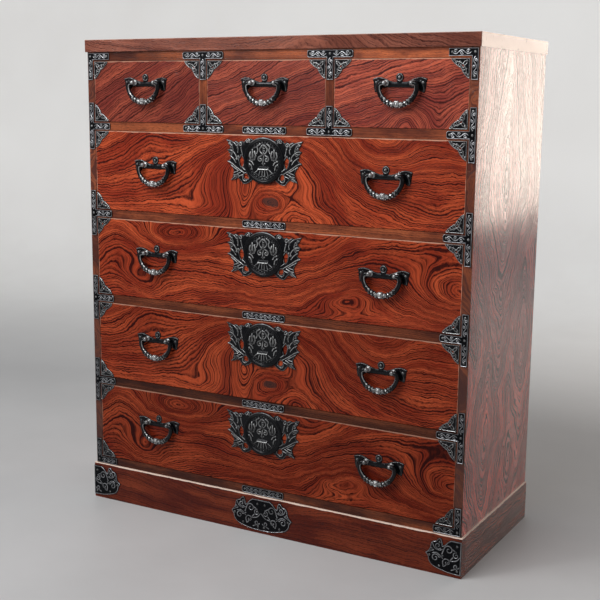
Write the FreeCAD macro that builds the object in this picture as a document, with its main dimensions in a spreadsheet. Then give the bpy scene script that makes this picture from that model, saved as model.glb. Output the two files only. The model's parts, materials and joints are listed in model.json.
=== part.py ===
import FreeCAD, Part
import math
import os
import re

# Clothing chest with three small drawers over four wide drawers, on a low base, with iron fittings.
# Millimetres. X runs to the right, Y to the back and Z up. The origin lies on the floor, in the middle
# of the whole outline, and the drawers open towards -Y.

# Driving sizes
SIZES = [
    ("overall_width", 1050),
    ("overall_depth", 450),
    ("overall_height", 1200),
    ("top_thickness", 30),
    ("side_step", 4),
    ("front_step", 6),
    ("base_height", 96),
    ("base_thickness", 24),
    ("side_thickness", 20),
    ("divider_thickness", 20),
    ("back_thickness", 8),
    ("back_rabbet", 10),
    ("back_seam", 0.3),
    ("rail_height", 21),
    ("rail_depth", 45),
    ("rail_lip", 10),
    ("top_rail_height", 22),
    ("small_opening", 150),
    ("shelf_thickness", 9),
    ("housing_depth", 6),
    ("edge_ease", 1.5),
    # Drawers
    ("front_thickness", 20),
    ("front_gap", 1),
    ("front_ease", 0.8),
    ("box_side_thickness", 10),
    ("box_back_thickness", 9),
    ("box_bottom_thickness", 7),
    ("box_rabbet", 8),
    ("box_headroom", 4),
    ("seat_gap", 0.3),
    # Straps on the frame
    ("strap_thickness", 2.5),
    ("strap_bevel", 0.6),
    ("rail_strap_height", 17),
    ("post_strap_width", 15),
    ("divider_strap_width", 17),
    ("strap_round", 5),
    ("tee_length", 116),
    ("tee_arm_reach", 65),
    ("corner_leg_length", 66),
    ("divider_leg_length", 66),
    ("rail_plate_length", 119),
    # Nails
    ("nail_head_radius", 3),
    ("nail_head_height", 2),
    ("nail_shank_radius", 1),
    ("nail_length", 12),
    ("nail_inset", 8),
    ("nail_clearance", 0.05),
    # Corner plates on the drawers
    ("corner_plate_leg", 42),
    ("corner_plate_inset", 0.5),
    ("corner_plate_thickness", 2),
    ("corner_nail_inset", 6),
    # Handles
    ("small_handle_drop", 53),
    ("large_handle_drop", 81.7),
    ("large_handle_inset", 188),
    ("wing_half_width", 65),
    ("wing_thickness", 2.5),
    ("wing_crown_radius", 9),
    ("wing_crown_rise", 12.5),
    ("wing_neck_width", 13),
    ("eye_stand", 12),
    ("eye_radius", 5.5),
    ("eye_gap", 0.5),
    ("post_radius", 2.5),
    ("post_clearance", 0.1),
    ("nut_radius", 6),
    ("nut_height", 5),
    ("post_tail", 2),
    ("pin_radius", 2),
    ("pin_clearance", 0.05),
    ("bail_half_width", 45),
    ("bail_drop", 47),
    ("bail_bend", 7),
    ("bail_corner_radius", 24),
    ("bail_bottom_radius", 70),
    ("bail_bar_radius", 4.5),
    ("bail_flower_radius", 7.5),
    ("bail_flower_thickness", 10),
    # Plates in the middle of the large drawers
    ("lock_drop", 59.5),
    ("lock_half_width", 104),
    ("lock_plate_thickness", 2.5),
    ("medallion_radius", 54),
    ("medallion_thickness", 4),
    ("medallion_rim", 2.2),
    ("medallion_inner_radius", 43),
    ("medallion_inner_rim", 1.2),
    ("lock_flower_radius", 9),
    ("lock_relief", 3),
    ("lock_ledge_width", 34),
    ("lock_ledge_height", 4),
    # Plates on the base
    ("base_plate_height", 80),
    ("base_plate_half_width", 87),
    ("base_plate_drop", 8),
    ("base_plate_thickness", 2.5),
    # One overrun serves every cut
    ("overrun", 5),
]

# Sizes that follow from the driving ones
DERIVED = {
    "carcass_width": "overall_width - 2 * side_step",
    "carcass_depth": "overall_depth - front_step",
    "carcass_top": "overall_height - top_thickness",
    "handle_reach": "eye_stand + eye_radius",
    "face_y": "(handle_reach - carcass_depth) / 2",
    "rear_y": "face_y + carcass_depth",
    "back_y": "rear_y - back_thickness",
    "inner_half": "carcass_width / 2 - side_thickness",
    "top_rail_z": "carcass_top - top_rail_height",
    "small_floor_z": "top_rail_z - small_opening",
    "row_pitch": "(small_floor_z - rail_height - base_height) / 4",
    "large_opening": "row_pitch - rail_height",
    "small_width": "(2 * inner_half - 2 * divider_thickness) / 3",
    "small_pitch": "small_width + divider_thickness",
    "divider_x": "small_pitch / 2",
    "back_pitch": "2 * (inner_half + back_rabbet) / 5",
    "large_handle_x": "inner_half - large_handle_inset",
    "eye_x": "bail_half_width - bail_bend - eye_gap - eye_radius",
    "pivot_y": "face_y - eye_stand",
    "post_strap_x": "inner_half + side_thickness / 2",
    "arm_end_x": "carcass_width / 2 - tee_arm_reach - side_step",
}

ROWS = (1, 2, 3, 4)
BACK_BOARDS = 5
COLUMNS = (("left", -1), ("middle", 0), ("right", 1))

doc = FreeCAD.newDocument("clothing_chest")
sheet = doc.addObject("Spreadsheet::Sheet", "sizes")
for row_number, (size_name, size_value) in enumerate(SIZES, 1):
    sheet.set(f"A{row_number}", size_name)
    sheet.set(f"B{row_number}", str(size_value))
    sheet.setAlias(f"B{row_number}", size_name)
doc.recompute()


def formula(text):
    """Turns a sum of size names into an expression on the sheet's cells."""
    def cell(match):
        word = match.group()
        if word in DERIVED:
            return "(" + formula(DERIVED[word]) + ")"
        return "sizes." + word
    return re.sub(r"[a-z][a-z_0-9]*", cell, str(text))


def number(text):
    """The value of a sum of size names, in millimetres."""
    return float(sheet.evalExpression(formula(text)))


def bind(item, **properties):
    """Ties an object's sizes to the sheet."""
    for name, text in properties.items():
        item.setExpression(name, formula(text))


def place(item, low):
    """Ties an object's place to the sheet."""
    for axis, text in zip("xyz", low):
        item.setExpression(f".Placement.Base.{axis}", formula(text))


# Boards and straps are bodies of boxes: one added, others added or cut.
def new_body(label):
    body = doc.addObject("PartDesign::Body", label)
    body.AllowCompound = True
    return body


def box_in(body, kind, low, size):
    """Adds or cuts a box, from its low corner and its three sizes."""
    box = body.newObject(f"PartDesign::{kind}Box", f"{body.Name}_box")
    bind(box, Length=size[0], Width=size[1], Height=size[2])
    place(box, low)


def hole_in(body, centre, radius, depth):
    """Cuts a round hole towards the back, from its front centre."""
    hole = body.newObject("PartDesign::SubtractiveCylinder", f"{body.Name}_hole")
    bind(hole, Radius=radius, Height=f"{depth} + 2 * overrun")
    hole.Placement.Rotation = FreeCAD.Rotation(FreeCAD.Vector(1, 0, 0), -90)
    place(hole, (centre[0], f"{centre[1]} - overrun", centre[2]))


def dress_edges(body, kind, radius, chosen):
    """Rounds or bevels the edges for which chosen(edge) is true."""
    doc.recompute()
    names = [f"Edge{index}" for index, edge in enumerate(body.Shape.Edges, 1) if chosen(edge)]
    solid = body.Tip
    dress = body.newObject(f"PartDesign::{kind}", f"{body.Name}_{kind.lower()}")
    dress.Base = (solid, names)
    bind(dress, **{"Radius" if kind == "Fillet" else "Size": radius})
    body.Tip = dress


def repeat_up(body, count, pitch):
    """Repeats all of a body upwards."""
    doc.recompute()
    pattern = body.newObject("PartDesign::LinearPattern", f"{body.Name}_rows")
    pattern.TransformMode = "Whole shape"
    pattern.Direction = (origin_feature(body, "Z_Axis"), [""])
    pattern.Mode = "Spacing"
    bind(pattern, Offset=pitch)
    pattern.Occurrences = count
    body.Tip = pattern


def mirror_sideways(body):
    """Repeats all of a body on the other side of the middle plane."""
    doc.recompute()
    mirror = body.newObject("PartDesign::Mirrored", f"{body.Name}_sides")
    mirror.TransformMode = "Whole shape"
    mirror.MirrorPlane = (origin_feature(body, "YZ_Plane"), [""])
    body.Tip = mirror


def origin_feature(body, role):
    return next(item for item in body.Origin.OriginFeatures if item.Role == role)


def close(value, target):
    return abs(value - target) < number("seat_gap") / 3


def is_along(edge, axis):
    """True for a straight edge that runs along one axis: 0 for X, 1 for Y, 2 for Z."""
    if len(edge.Vertexes) != 2:
        return False
    run = edge.Vertexes[1].Point - edge.Vertexes[0].Point
    return all(abs(run[other]) < abs(run[axis]) / 1000 for other in range(3) if other != axis)


def lies_at_y(edge, depth):
    box = edge.BoundBox
    return close(box.YMin, depth) and close(box.YMax, depth)


parts = []


def keep(item):
    parts.append(item)
    return item


# Carcass boards
def build_top_board():
    body = keep(new_body("top_board"))
    box_in(body, "Additive", ("-overall_width / 2", "face_y - front_step", "carcass_top"),
           ("overall_width", "overall_depth", "top_thickness"))
    rear = number("rear_y")
    dress_edges(body, "Fillet", "edge_ease", lambda edge: not close(edge.BoundBox.YMax, rear))


def build_side_board(label, side):
    """One side board, rabbeted for the back and housed for the dust boards."""
    body = keep(new_body(label))
    outer = "inner_half" if side > 0 else "-inner_half - side_thickness"
    box_in(body, "Additive", (outer, "face_y", "base_height"),
           ("side_thickness", "carcass_depth", "carcass_top - base_height"))
    rabbet = "inner_half - overrun" if side > 0 else "-inner_half - back_rabbet"
    box_in(body, "Subtractive", (rabbet, "back_y", "base_height - overrun"),
           ("back_rabbet + overrun", "back_thickness + overrun", "carcass_top - base_height + 2 * overrun"))
    housing = "inner_half - overrun" if side > 0 else "-inner_half - housing_depth"
    for row in ROWS:
        level = f"base_height + rail_height + {row} * row_pitch - shelf_thickness"
        box_in(body, "Subtractive", (housing, "face_y + rail_lip", level),
               ("housing_depth + overrun", "carcass_depth - rail_lip + overrun", "shelf_thickness"))


def build_back_boards():
    body = keep(new_body("back_boards"))
    box_in(body, "Additive", ("-inner_half - back_rabbet", "back_y", "base_height"),
           ("back_pitch - back_seam", "back_thickness", "carcass_top - base_height"))
    doc.recompute()
    pattern = body.newObject("PartDesign::LinearPattern", "back_row")
    pattern.TransformMode = "Whole shape"
    pattern.Direction = (origin_feature(body, "X_Axis"), [""])
    pattern.Mode = "Spacing"
    bind(pattern, Offset="back_pitch")
    pattern.Occurrences = BACK_BOARDS
    body.Tip = pattern


def build_shelves():
    """The bottom board, and the dust boards in their housings as one group."""
    behind = "face_y + rail_depth"
    depth = "carcass_depth - back_thickness - rail_depth"
    bottom = keep(new_body("bottom_board"))
    box_in(bottom, "Additive", ("-inner_half", behind, "base_height"), ("2 * inner_half", depth, "rail_height"))
    shelves = keep(new_body("dust_boards"))
    level = "base_height + rail_height + row_pitch - shelf_thickness"
    box_in(shelves, "Additive", ("-inner_half - housing_depth", behind, level),
           ("2 * (inner_half + housing_depth)", depth, "shelf_thickness"))
    repeat_up(shelves, len(ROWS), "row_pitch")


def build_rails():
    """The rails: those between the drawers have a tongue that shares the side boards' housings."""
    plain = (("bottom_rail", "base_height", "rail_height"), ("top_rail", "top_rail_z", "top_rail_height"))
    for label, level, height in plain:
        body = keep(new_body(label))
        box_in(body, "Additive", ("-inner_half", "face_y", level), ("2 * inner_half", "rail_depth", height))
    for row in ROWS:
        body = keep(new_body(f"rail_{row}"))
        level = f"small_floor_z - rail_height - {row - 1} * row_pitch"
        box_in(body, "Additive", ("-inner_half", "face_y", level),
               ("2 * inner_half", "rail_depth", "rail_height"))
        tongue = f"{level} + rail_height - shelf_thickness"
        box_in(body, "Additive", ("-inner_half - housing_depth", "face_y + rail_lip", tongue),
               ("2 * (inner_half + housing_depth)", "rail_depth - rail_lip", "shelf_thickness"))


def build_dividers():
    """The boards between the small drawers, notched at the front for the top rail."""
    for label, side in (("left_divider", -1), ("right_divider", 1)):
        body = keep(new_body(label))
        low_x = f"{side} * divider_x - divider_thickness / 2"
        box_in(body, "Additive", (low_x, "face_y", "small_floor_z"),
               ("divider_thickness", "carcass_depth - back_thickness", "carcass_top - small_floor_z"))
        box_in(body, "Subtractive", (f"{low_x} - overrun", "face_y - overrun", "top_rail_z"),
               ("divider_thickness + 2 * overrun", "rail_depth + overrun", "top_rail_height + overrun"))


def build_base():
    front = keep(new_body("base_front"))
    box_in(front, "Additive", ("-overall_width / 2", "face_y - front_step", "0"),
           ("overall_width", "base_thickness", "base_height"))
    face = number("face_y - front_step")
    dress_edges(front, "Fillet", "edge_ease", lambda edge: lies_at_y(edge, face) and not is_along(edge, 2))
    behind = "face_y - front_step + base_thickness"
    sides = keep(new_body("base_sides"))
    for low_x in ("-overall_width / 2", "overall_width / 2 - base_thickness"):
        box_in(sides, "Additive", (low_x, behind, "0"),
               ("base_thickness", "overall_depth - base_thickness", "base_height"))
    back = keep(new_body("base_back"))
    box_in(back, "Additive", ("base_thickness - overall_width / 2", "rear_y - base_thickness", "0"),
           ("overall_width - 2 * base_thickness", "base_thickness", "base_height"))


# Straps: each knows its nails, so that holes and nails agree.
strap_nails = []


def strap_box(body, low_x, low_z, width, height):
    box_in(body, "Additive", (low_x, "face_y - strap_thickness", low_z), (width, "strap_thickness", height))


def finish_strap(body, ends, nails):
    """Rounds a strap's free ends, bevels its face and makes its nail holes."""
    points = [(number(x), number(z)) for x, z in ends]
    dress_edges(body, "Fillet", "strap_round", lambda edge: is_along(edge, 1) and any(
        close(edge.Vertexes[0].X, x) and close(edge.Vertexes[0].Z, z) for x, z in points))
    face = number("face_y - strap_thickness")
    dress_edges(body, "Chamfer", "strap_bevel", lambda edge: lies_at_y(edge, face))
    radius = "nail_shank_radius + nail_clearance"
    for x, z in nails:
        hole_in(body, (x, "face_y - strap_thickness", z), radius, "strap_thickness")


def note_nails(nails, sides, count):
    """Notes the nails of a strap that is repeated upwards and sideways."""
    for x, z in nails:
        for side in sides:
            for turn in range(count):
                strap_nails.append((side * number(x), number(z) + turn * number("row_pitch")))


def build_rail_plates():
    body = keep(new_body("rail_plates"))
    low_x = "-rail_plate_length / 2"
    high_x = "rail_plate_length / 2"
    low_z = "base_height + (rail_height - rail_strap_height) / 2"
    high_z = f"{low_z} + rail_strap_height"
    strap_box(body, low_x, low_z, "rail_plate_length", "rail_strap_height")
    middle = "base_height + rail_height / 2"
    nails = [("0", middle), (f"{high_x} - nail_inset", middle), (f"{low_x} + nail_inset", middle)]
    ends = [(x, z) for x in (low_x, high_x) for z in (low_z, high_z)]
    finish_strap(body, ends, nails)
    repeat_up(body, len(ROWS) + 1, "row_pitch")
    note_nails(nails, (1,), len(ROWS) + 1)


def build_side_tees():
    """The tees where the rails meet the side boards, four on each side."""
    body = keep(new_body("side_tees"))
    middle = "base_height + rail_height / 2 + row_pitch"
    bar_x = "post_strap_x - post_strap_width / 2"
    bar_low = f"{middle} - tee_length / 2"
    arm_low = f"{middle} - rail_strap_height / 2"
    strap_box(body, bar_x, bar_low, "post_strap_width", "tee_length")
    strap_box(body, "arm_end_x", arm_low, "post_strap_x - arm_end_x", "rail_strap_height")
    ends = [("arm_end_x", arm_low), ("arm_end_x", f"{arm_low} + rail_strap_height")]
    nails = [("arm_end_x + nail_inset", middle), ("post_strap_x", middle),
             ("post_strap_x", f"{middle} + tee_length / 2 - nail_inset"),
             ("post_strap_x", f"{middle} - tee_length / 2 + nail_inset")]
    finish_strap(body, ends, nails)
    repeat_up(body, len(ROWS), "row_pitch")
    mirror_sideways(body)
    note_nails(nails, (1, -1), len(ROWS))


def build_corner_straps():
    """The angle straps in the carcass's top and bottom corners."""
    body = keep(new_body("corner_straps"))
    bar_x = "post_strap_x - post_strap_width / 2"
    width = "post_strap_x + post_strap_width / 2 - arm_end_x"
    top_arm = "top_rail_z + (top_rail_height - rail_strap_height) / 2"
    bottom_arm = "base_height + (rail_height - rail_strap_height) / 2"
    strap_box(body, "arm_end_x", top_arm, width, "rail_strap_height")
    leg_low = f"{top_arm} + rail_strap_height - corner_leg_length"
    strap_box(body, bar_x, leg_low, "post_strap_width", "corner_leg_length")
    strap_box(body, "arm_end_x", bottom_arm, width, "rail_strap_height")
    strap_box(body, bar_x, bottom_arm, "post_strap_width", "corner_leg_length")
    ends = [("arm_end_x", top_arm), ("arm_end_x", f"{top_arm} + rail_strap_height"),
            ("arm_end_x", bottom_arm), ("arm_end_x", f"{bottom_arm} + rail_strap_height")]
    nails = [("arm_end_x + nail_inset", f"{arm} + rail_strap_height / 2") for arm in (top_arm, bottom_arm)]
    nails += [("post_strap_x", f"{arm} + rail_strap_height / 2") for arm in (top_arm, bottom_arm)]
    nails += [("post_strap_x", f"{leg_low} + nail_inset"),
              ("post_strap_x", f"{bottom_arm} + corner_leg_length - nail_inset")]
    finish_strap(body, ends, nails)
    mirror_sideways(body)
    note_nails(nails, (1, -1), 1)


def build_divider_tees():
    """The tees above and below each divider."""
    body = keep(new_body("divider_tees"))
    low_x = "divider_x - tee_length / 2"
    high_x = "divider_x + tee_length / 2"
    leg_x = "divider_x - divider_strap_width / 2"
    top_bar = "top_rail_z + (top_rail_height - rail_strap_height) / 2"
    rail_bar = "small_floor_z - (rail_height + rail_strap_height) / 2"
    strap_box(body, low_x, top_bar, "tee_length", "rail_strap_height")
    strap_box(body, leg_x, f"{top_bar} + rail_strap_height - divider_leg_length",
              "divider_strap_width", "divider_leg_length")
    strap_box(body, low_x, rail_bar, "tee_length", "rail_strap_height")
    strap_box(body, leg_x, rail_bar, "divider_strap_width", "divider_leg_length")
    ends = [(x, f"{bar}{edge}") for x in (low_x, high_x) for bar in (top_bar, rail_bar)
            for edge in ("", " + rail_strap_height")]
    nails = [(x, f"{bar} + rail_strap_height / 2") for bar in (top_bar, rail_bar)
             for x in (f"{low_x} + nail_inset", "divider_x", f"{high_x} - nail_inset")]
    nails += [("divider_x", f"{top_bar} + rail_strap_height - divider_leg_length + nail_inset"),
              ("divider_x", f"{rail_bar} + divider_leg_length - nail_inset")]
    finish_strap(body, ends, nails)
    mirror_sideways(body)
    note_nails(nails, (1, -1), 1)


# Outlines of the ornamental plates. Their points are shares of one size of each plate, in the plane of
# the drawer fronts: across, then up. Every stretch is one smooth curve, and stretches meet in points.
WING_SHARES = [
    [(0, 0.05), (0.21, 0.035)],
    [(0.21, 0.035), (0.38, 0.09), (0.55, 0.16), (0.72, 0.2), (0.86, 0.185), (1, 0.14)],
    [(1, 0.14), (0.96, 0.05), (0.95, -0.06), (0.93, -0.19), (0.9, -0.31)],
    [(0.9, -0.31), (0.81, -0.23), (0.72, -0.1)],
    [(0.72, -0.1), (0.6, -0.135), (0.4, -0.14), (0, -0.14)],
    [(0, -0.14), (0, 0.05)],
]
LOCK_WING_SHARES = [
    [(0.25, 0.4), (0.31, 0.465), (0.4, 0.485), (0.48, 0.44), (0.55, 0.39)],
    [(0.55, 0.39), (0.66, 0.375), (0.8, 0.4), (1, 0.452)],
    [(1, 0.452), (0.955, 0.37), (0.9, 0.3), (0.92, 0.24), (0.98, 0.212)],
    [(0.98, 0.212), (0.915, 0.13), (0.885, 0.06), (0.91, 0), (0.98, -0.048)],
    [(0.98, -0.048), (0.9, -0.1), (0.83, -0.18), (0.8, -0.27), (0.82, -0.37), (0.875, -0.47)],
    [(0.875, -0.47), (0.78, -0.45), (0.68, -0.42), (0.62, -0.46)],
    [(0.62, -0.46), (0.56, -0.53), (0.48, -0.54), (0.38, -0.5), (0.25, -0.4)],
    [(0.25, -0.4), (0.25, 0.4)],
]
LOCK_WINDOW_SHARES = [
    [[(0.6, 0.1), (0.535, -0.04), (0.575, -0.16)], [(0.575, -0.16), (0.65, -0.04), (0.6, 0.1)]],
    [[(0.4, -0.4), (0.42, -0.31), (0.5, -0.31)], [(0.5, -0.31), (0.53, -0.4), (0.4, -0.4)]],
]
LOCK_FLOWER_SHARES = [(0.27, 0.14), (-0.27, 0.14), (0, 0.3), (0, 0.05)]
LOCK_LEDGE_SHARE = -0.18
LOCK_NAIL_SHARES = [(0.9, 0.37), (0.72, 0.02), (0.76, -0.38)]
BASE_PLATE_SHARES = [
    [(0, 1), (0.29, 1)],
    [(0.29, 1), (0.38, 0.93), (0.46, 0.83), (0.515, 0.79)],
    [(0.515, 0.79), (0.53, 0.9), (0.57, 1), (0.65, 0.98), (0.71, 0.9)],
    [(0.71, 0.9), (0.79, 0.88), (0.85, 0.81), (0.87, 0.68), (0.92, 0.58), (1, 0.5)],
    [(1, 0.5), (0.93, 0.4), (0.9, 0.27), (0.8, 0.15), (0.62, 0.08), (0.35, 0.02), (0, 0)],
    [(0, 0), (0, 1)],
]
BASE_NAIL_SHARES = [(0.12, 0.85), (0.6, 0.88), (0.88, 0.45), (0.6, 0.18), (0.1, 0.12)]
CORNER_PLATE_SHARES = [
    [(0, 0), (1, 0)],
    [(1, 0), (0.97, 0.1), (0.8, 0.26), (0.64, 0.4), (0.5, 0.5)],
    [(0.5, 0.5), (0.4, 0.64), (0.26, 0.8), (0.1, 0.97), (0, 1)],
    [(0, 1), (0, 0)],
]
CORNER_SLOT_SHARES = [[(0.46, 0.24), (0.38, 0.38), (0.24, 0.46)], [(0.24, 0.46), (0.31, 0.31), (0.46, 0.24)]]


def outline(stretches, across, up):
    """A closed face from stretches of shares, sized across and up."""
    edges = []
    for stretch in stretches:
        points = [FreeCAD.Vector(x * across, 0, z * up) for x, z in stretch]
        if len(points) == 2:
            edges.append(Part.LineSegment(points[0], points[1]).toShape())
        else:
            curve = Part.BSplineCurve()
            curve.interpolate(points)
            edges.append(curve.toShape())
    return Part.Face(Part.Wire(edges))


def mirrored(shape):
    return shape.mirror(FreeCAD.Vector(0, 0, 0), FreeCAD.Vector(1, 0, 0))


def moved(shape, x, y, z):
    copy = shape.copy()
    copy.translate(FreeCAD.Vector(x, y, z))
    return copy


def rod(radius, length, x, y, z):
    """A round rod towards the back, from its front centre."""
    return Part.makeCylinder(radius, length, FreeCAD.Vector(x, y, z), FreeCAD.Vector(0, 1, 0))


def plate_of(face, thickness):
    """Thickens a face towards the front, from the plane y = 0."""
    return face.extrude(FreeCAD.Vector(0, -thickness, 0))


def holed(shape, points, thickness):
    """Cuts nail holes right through a plate."""
    radius = number("nail_shank_radius + nail_clearance")
    overrun = number("overrun")
    for x, z in points:
        shape = shape.cut(rod(radius, thickness + 2 * overrun, x, -thickness - overrun, z))
    return shape


def nail(x, y, z):
    """One dome nail whose head sits at y and whose shank runs to the back."""
    radius = number("nail_head_radius")
    height = number("nail_head_height")
    shank = number("nail_shank_radius")
    length = number("nail_length")
    crown = FreeCAD.Vector(0, -height, 0)
    rim = FreeCAD.Vector(radius, 0, 0)
    turn = math.sqrt(0.5)
    shoulder = FreeCAD.Vector(radius * turn, -height * turn, 0)
    dome = Part.Arc(crown, shoulder, rim).toShape()
    rest = Part.makePolygon([rim, FreeCAD.Vector(shank, 0, 0), FreeCAD.Vector(shank, length, 0),
                             FreeCAD.Vector(0, length, 0), crown])
    face = Part.Face(Part.Wire([dome] + rest.Edges))
    solid = face.revolve(FreeCAD.Vector(0, 0, 0), FreeCAD.Vector(0, 1, 0), 360)
    return moved(solid, x, y, z)


def feature(label, shape):
    """Keeps a shape as a sub-part of its own."""
    item = doc.addObject("Part::Feature", label)
    item.Shape = shape
    return keep(item)


def seated(item, x, y, z):
    """Places a sub-part that was made about its own reference point."""
    item.Placement = FreeCAD.Placement(FreeCAD.Vector(x, y, z), FreeCAD.Rotation())


def build_frame_nails():
    """Every nail of the straps and of the base plates."""
    seat = number("face_y - strap_thickness")
    nails = [nail(x, seat, z) for x, z in strap_nails]
    base_seat = number("face_y - front_step - base_plate_thickness")
    nails += [nail(x, base_seat, z) for x, z in base_corner_nails() + base_centre_nails()]
    feature("frame_nails", Part.makeCompound(nails))


# Base plates: the centre plate is two mirrored halves, and each corner plate is one half.
def base_nail_points():
    across = number("base_plate_half_width")
    up = number("base_plate_height")
    return [(x * across, z * up) for x, z in BASE_NAIL_SHARES]


def base_centre_nails():
    low = number("base_plate_drop")
    half = [(x, z + low) for x, z in base_nail_points()]
    return half + [(-x, z) for x, z in half]


def base_corner_nails():
    low = number("base_plate_drop")
    edge = number("overall_width / 2")
    half = [(x - edge, z + low) for x, z in base_nail_points()]
    return half + [(-x, z) for x, z in half]


def build_base_plates():
    thickness = number("base_plate_thickness")
    face = outline(BASE_PLATE_SHARES, number("base_plate_half_width"), number("base_plate_height"))
    half = holed(plate_of(face, thickness), base_nail_points(), thickness)
    seat = number("face_y - front_step")
    low = number("base_plate_drop")
    centre = feature("base_centre_plate", half.fuse(mirrored(half)).removeSplitter())
    seated(centre, 0, seat, low)
    edge = number("overall_width / 2")
    left = moved(half, -edge, 0, 0)
    corners = feature("base_corner_plates", Part.makeCompound([left, mirrored(left)]))
    seated(corners, 0, seat, low)


# Drawer irons, made about the middle of a drawer front's face: X across, Z up, face at y = 0.
def corner_plate():
    """The plate of one corner, with its corner at the origin and its legs towards +X and +Z."""
    leg = number("corner_plate_leg")
    thickness = number("corner_plate_thickness")
    solid = plate_of(outline(CORNER_PLATE_SHARES, leg, leg), thickness)
    slot = moved(plate_of(outline(CORNER_SLOT_SHARES, leg, leg), 3 * thickness), 0, thickness, 0)
    return holed(solid.cut(slot), corner_nail_points(), thickness)


def corner_nail_points():
    inset = number("corner_nail_inset")
    far = number("corner_plate_leg - corner_nail_inset") - inset / 2
    return [(inset, inset), (far, inset / 2), (inset / 2, far)]


def corner_irons(width, height):
    """Four corner plates with their nails, for a front of this width and height."""
    inset = number("corner_plate_inset")
    turn = FreeCAD.Vector(0, 0, 1)
    plate = moved(CORNER_PLATE, inset - width / 2, 0, inset - height / 2)
    seat = -number("corner_plate_thickness")
    nails = [nail(x + inset - width / 2, seat, z + inset - height / 2) for x, z in corner_nail_points()]
    lower = [plate] + nails
    upper = [shape.mirror(FreeCAD.Vector(0, 0, 0), turn) for shape in lower]
    left = lower + upper
    return left + [mirrored(shape) for shape in left]


def wing_plate():
    """The fixed plate of one handle, about the middle of its pivot line."""
    half_width = number("wing_half_width")
    thickness = number("wing_thickness")
    half = plate_of(outline(WING_SHARES, half_width, half_width), thickness)
    rise = number("wing_crown_rise")
    crown = rod(number("wing_crown_radius"), thickness, 0, -thickness, rise)
    neck_width = number("wing_neck_width")
    neck = Part.makeBox(neck_width, thickness, rise, FreeCAD.Vector(-neck_width / 2, -thickness, 0))
    solid = half.fuse([mirrored(half), crown, neck]).removeSplitter()
    reach = number("overrun")
    hole = number("post_radius + post_clearance")
    bore = rod(hole, thickness + 2 * reach, number("eye_x"), -thickness - reach, 0)
    solid = solid.cut(bore).cut(mirrored(bore))
    return holed(solid, wing_nail_points(), thickness)


def wing_nail_points():
    """One nail near each tip and one in the crown."""
    tip = number("wing_half_width - nail_inset")
    level = number("nail_head_radius")
    return [(-tip, level), (tip, level), (0, number("wing_crown_rise"))]


def eye_post():
    """A post through the front, with an eye that holds the end of the bail."""
    stand = number("eye_stand")
    centre = FreeCAD.Vector(0, -stand, 0)
    length = number("eye_stand + front_thickness + nut_height + post_tail")
    ball = Part.makeSphere(number("eye_radius"), centre)
    shank = rod(number("post_radius"), length, 0, -stand, 0)
    wide = 2 * number("eye_radius + overrun")
    eye = Part.makeCylinder(number("pin_radius + pin_clearance"), wide, centre - FreeCAD.Vector(wide / 2, 0, 0),
                            FreeCAD.Vector(1, 0, 0))
    return ball.fuse(shank).cut(eye)


def nut():
    """A six-sided nut behind the front."""
    radius = number("nut_radius")
    corners = [FreeCAD.Vector(radius * math.cos(turn * math.pi / 3), 0, radius * math.sin(turn * math.pi / 3))
               for turn in range(7)]
    blank = Part.Face(Part.makePolygon(corners)).extrude(FreeCAD.Vector(0, number("nut_height"), 0))
    hole = number("post_radius + post_clearance")
    bore = rod(hole, number("nut_height + 2 * overrun"), 0, -number("overrun"), 0)
    return moved(blank.cut(bore), 0, number("front_thickness"), 0)


def handle_irons():
    """One handle's fixed pieces, about the middle of its pivot line."""
    seat = -number("wing_thickness")
    eye = number("eye_x")
    posts = [moved(piece, x, 0, 0) for piece in (eye_post(), nut()) for x in (-eye, eye)]
    nails = [nail(x, seat, z) for x, z in wing_nail_points()]
    return [wing_plate()] + posts + nails


def arc_between(start, middle, end):
    return Part.Arc(start, middle, end).toShape()


def bail_path():
    """The right half of the bail's centre line, from its shoulder to the middle of its bottom."""
    half = number("bail_half_width")
    bend = number("bail_bend")
    drop = number("bail_drop")
    corner = number("bail_corner_radius")
    bottom = number("bail_bottom_radius")
    bend_centre = FreeCAD.Vector(half - bend, 0, -bend)
    corner_x = half - corner
    bottom_z = bottom - drop
    corner_z = bottom_z - math.sqrt((bottom - corner) ** 2 - corner_x ** 2)
    corner_centre = FreeCAD.Vector(corner_x, 0, corner_z)
    bottom_centre = FreeCAD.Vector(0, 0, bottom_z)
    meeting_angle = math.atan2(corner_z - bottom_z, corner_x)

    def on_circle(centre, radius, angle):
        return centre + FreeCAD.Vector(radius * math.cos(angle), 0, radius * math.sin(angle))

    quarter = math.pi / 2
    bend_start = on_circle(bend_centre, bend, quarter)
    bend_end = on_circle(bend_centre, bend, 0)
    corner_start = on_circle(corner_centre, corner, 0)
    corner_end = on_circle(corner_centre, corner, meeting_angle)
    lowest = on_circle(bottom_centre, bottom, -quarter)
    shoulder = arc_between(bend_start, on_circle(bend_centre, bend, quarter / 2), bend_end)
    side = Part.LineSegment(bend_end, corner_start).toShape()
    turn = arc_between(corner_start, on_circle(corner_centre, corner, meeting_angle / 2), corner_end)
    base = arc_between(corner_end, on_circle(bottom_centre, bottom, (meeting_angle - quarter) / 2), lowest)
    return Part.Wire([shoulder, side, turn, base])


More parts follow.
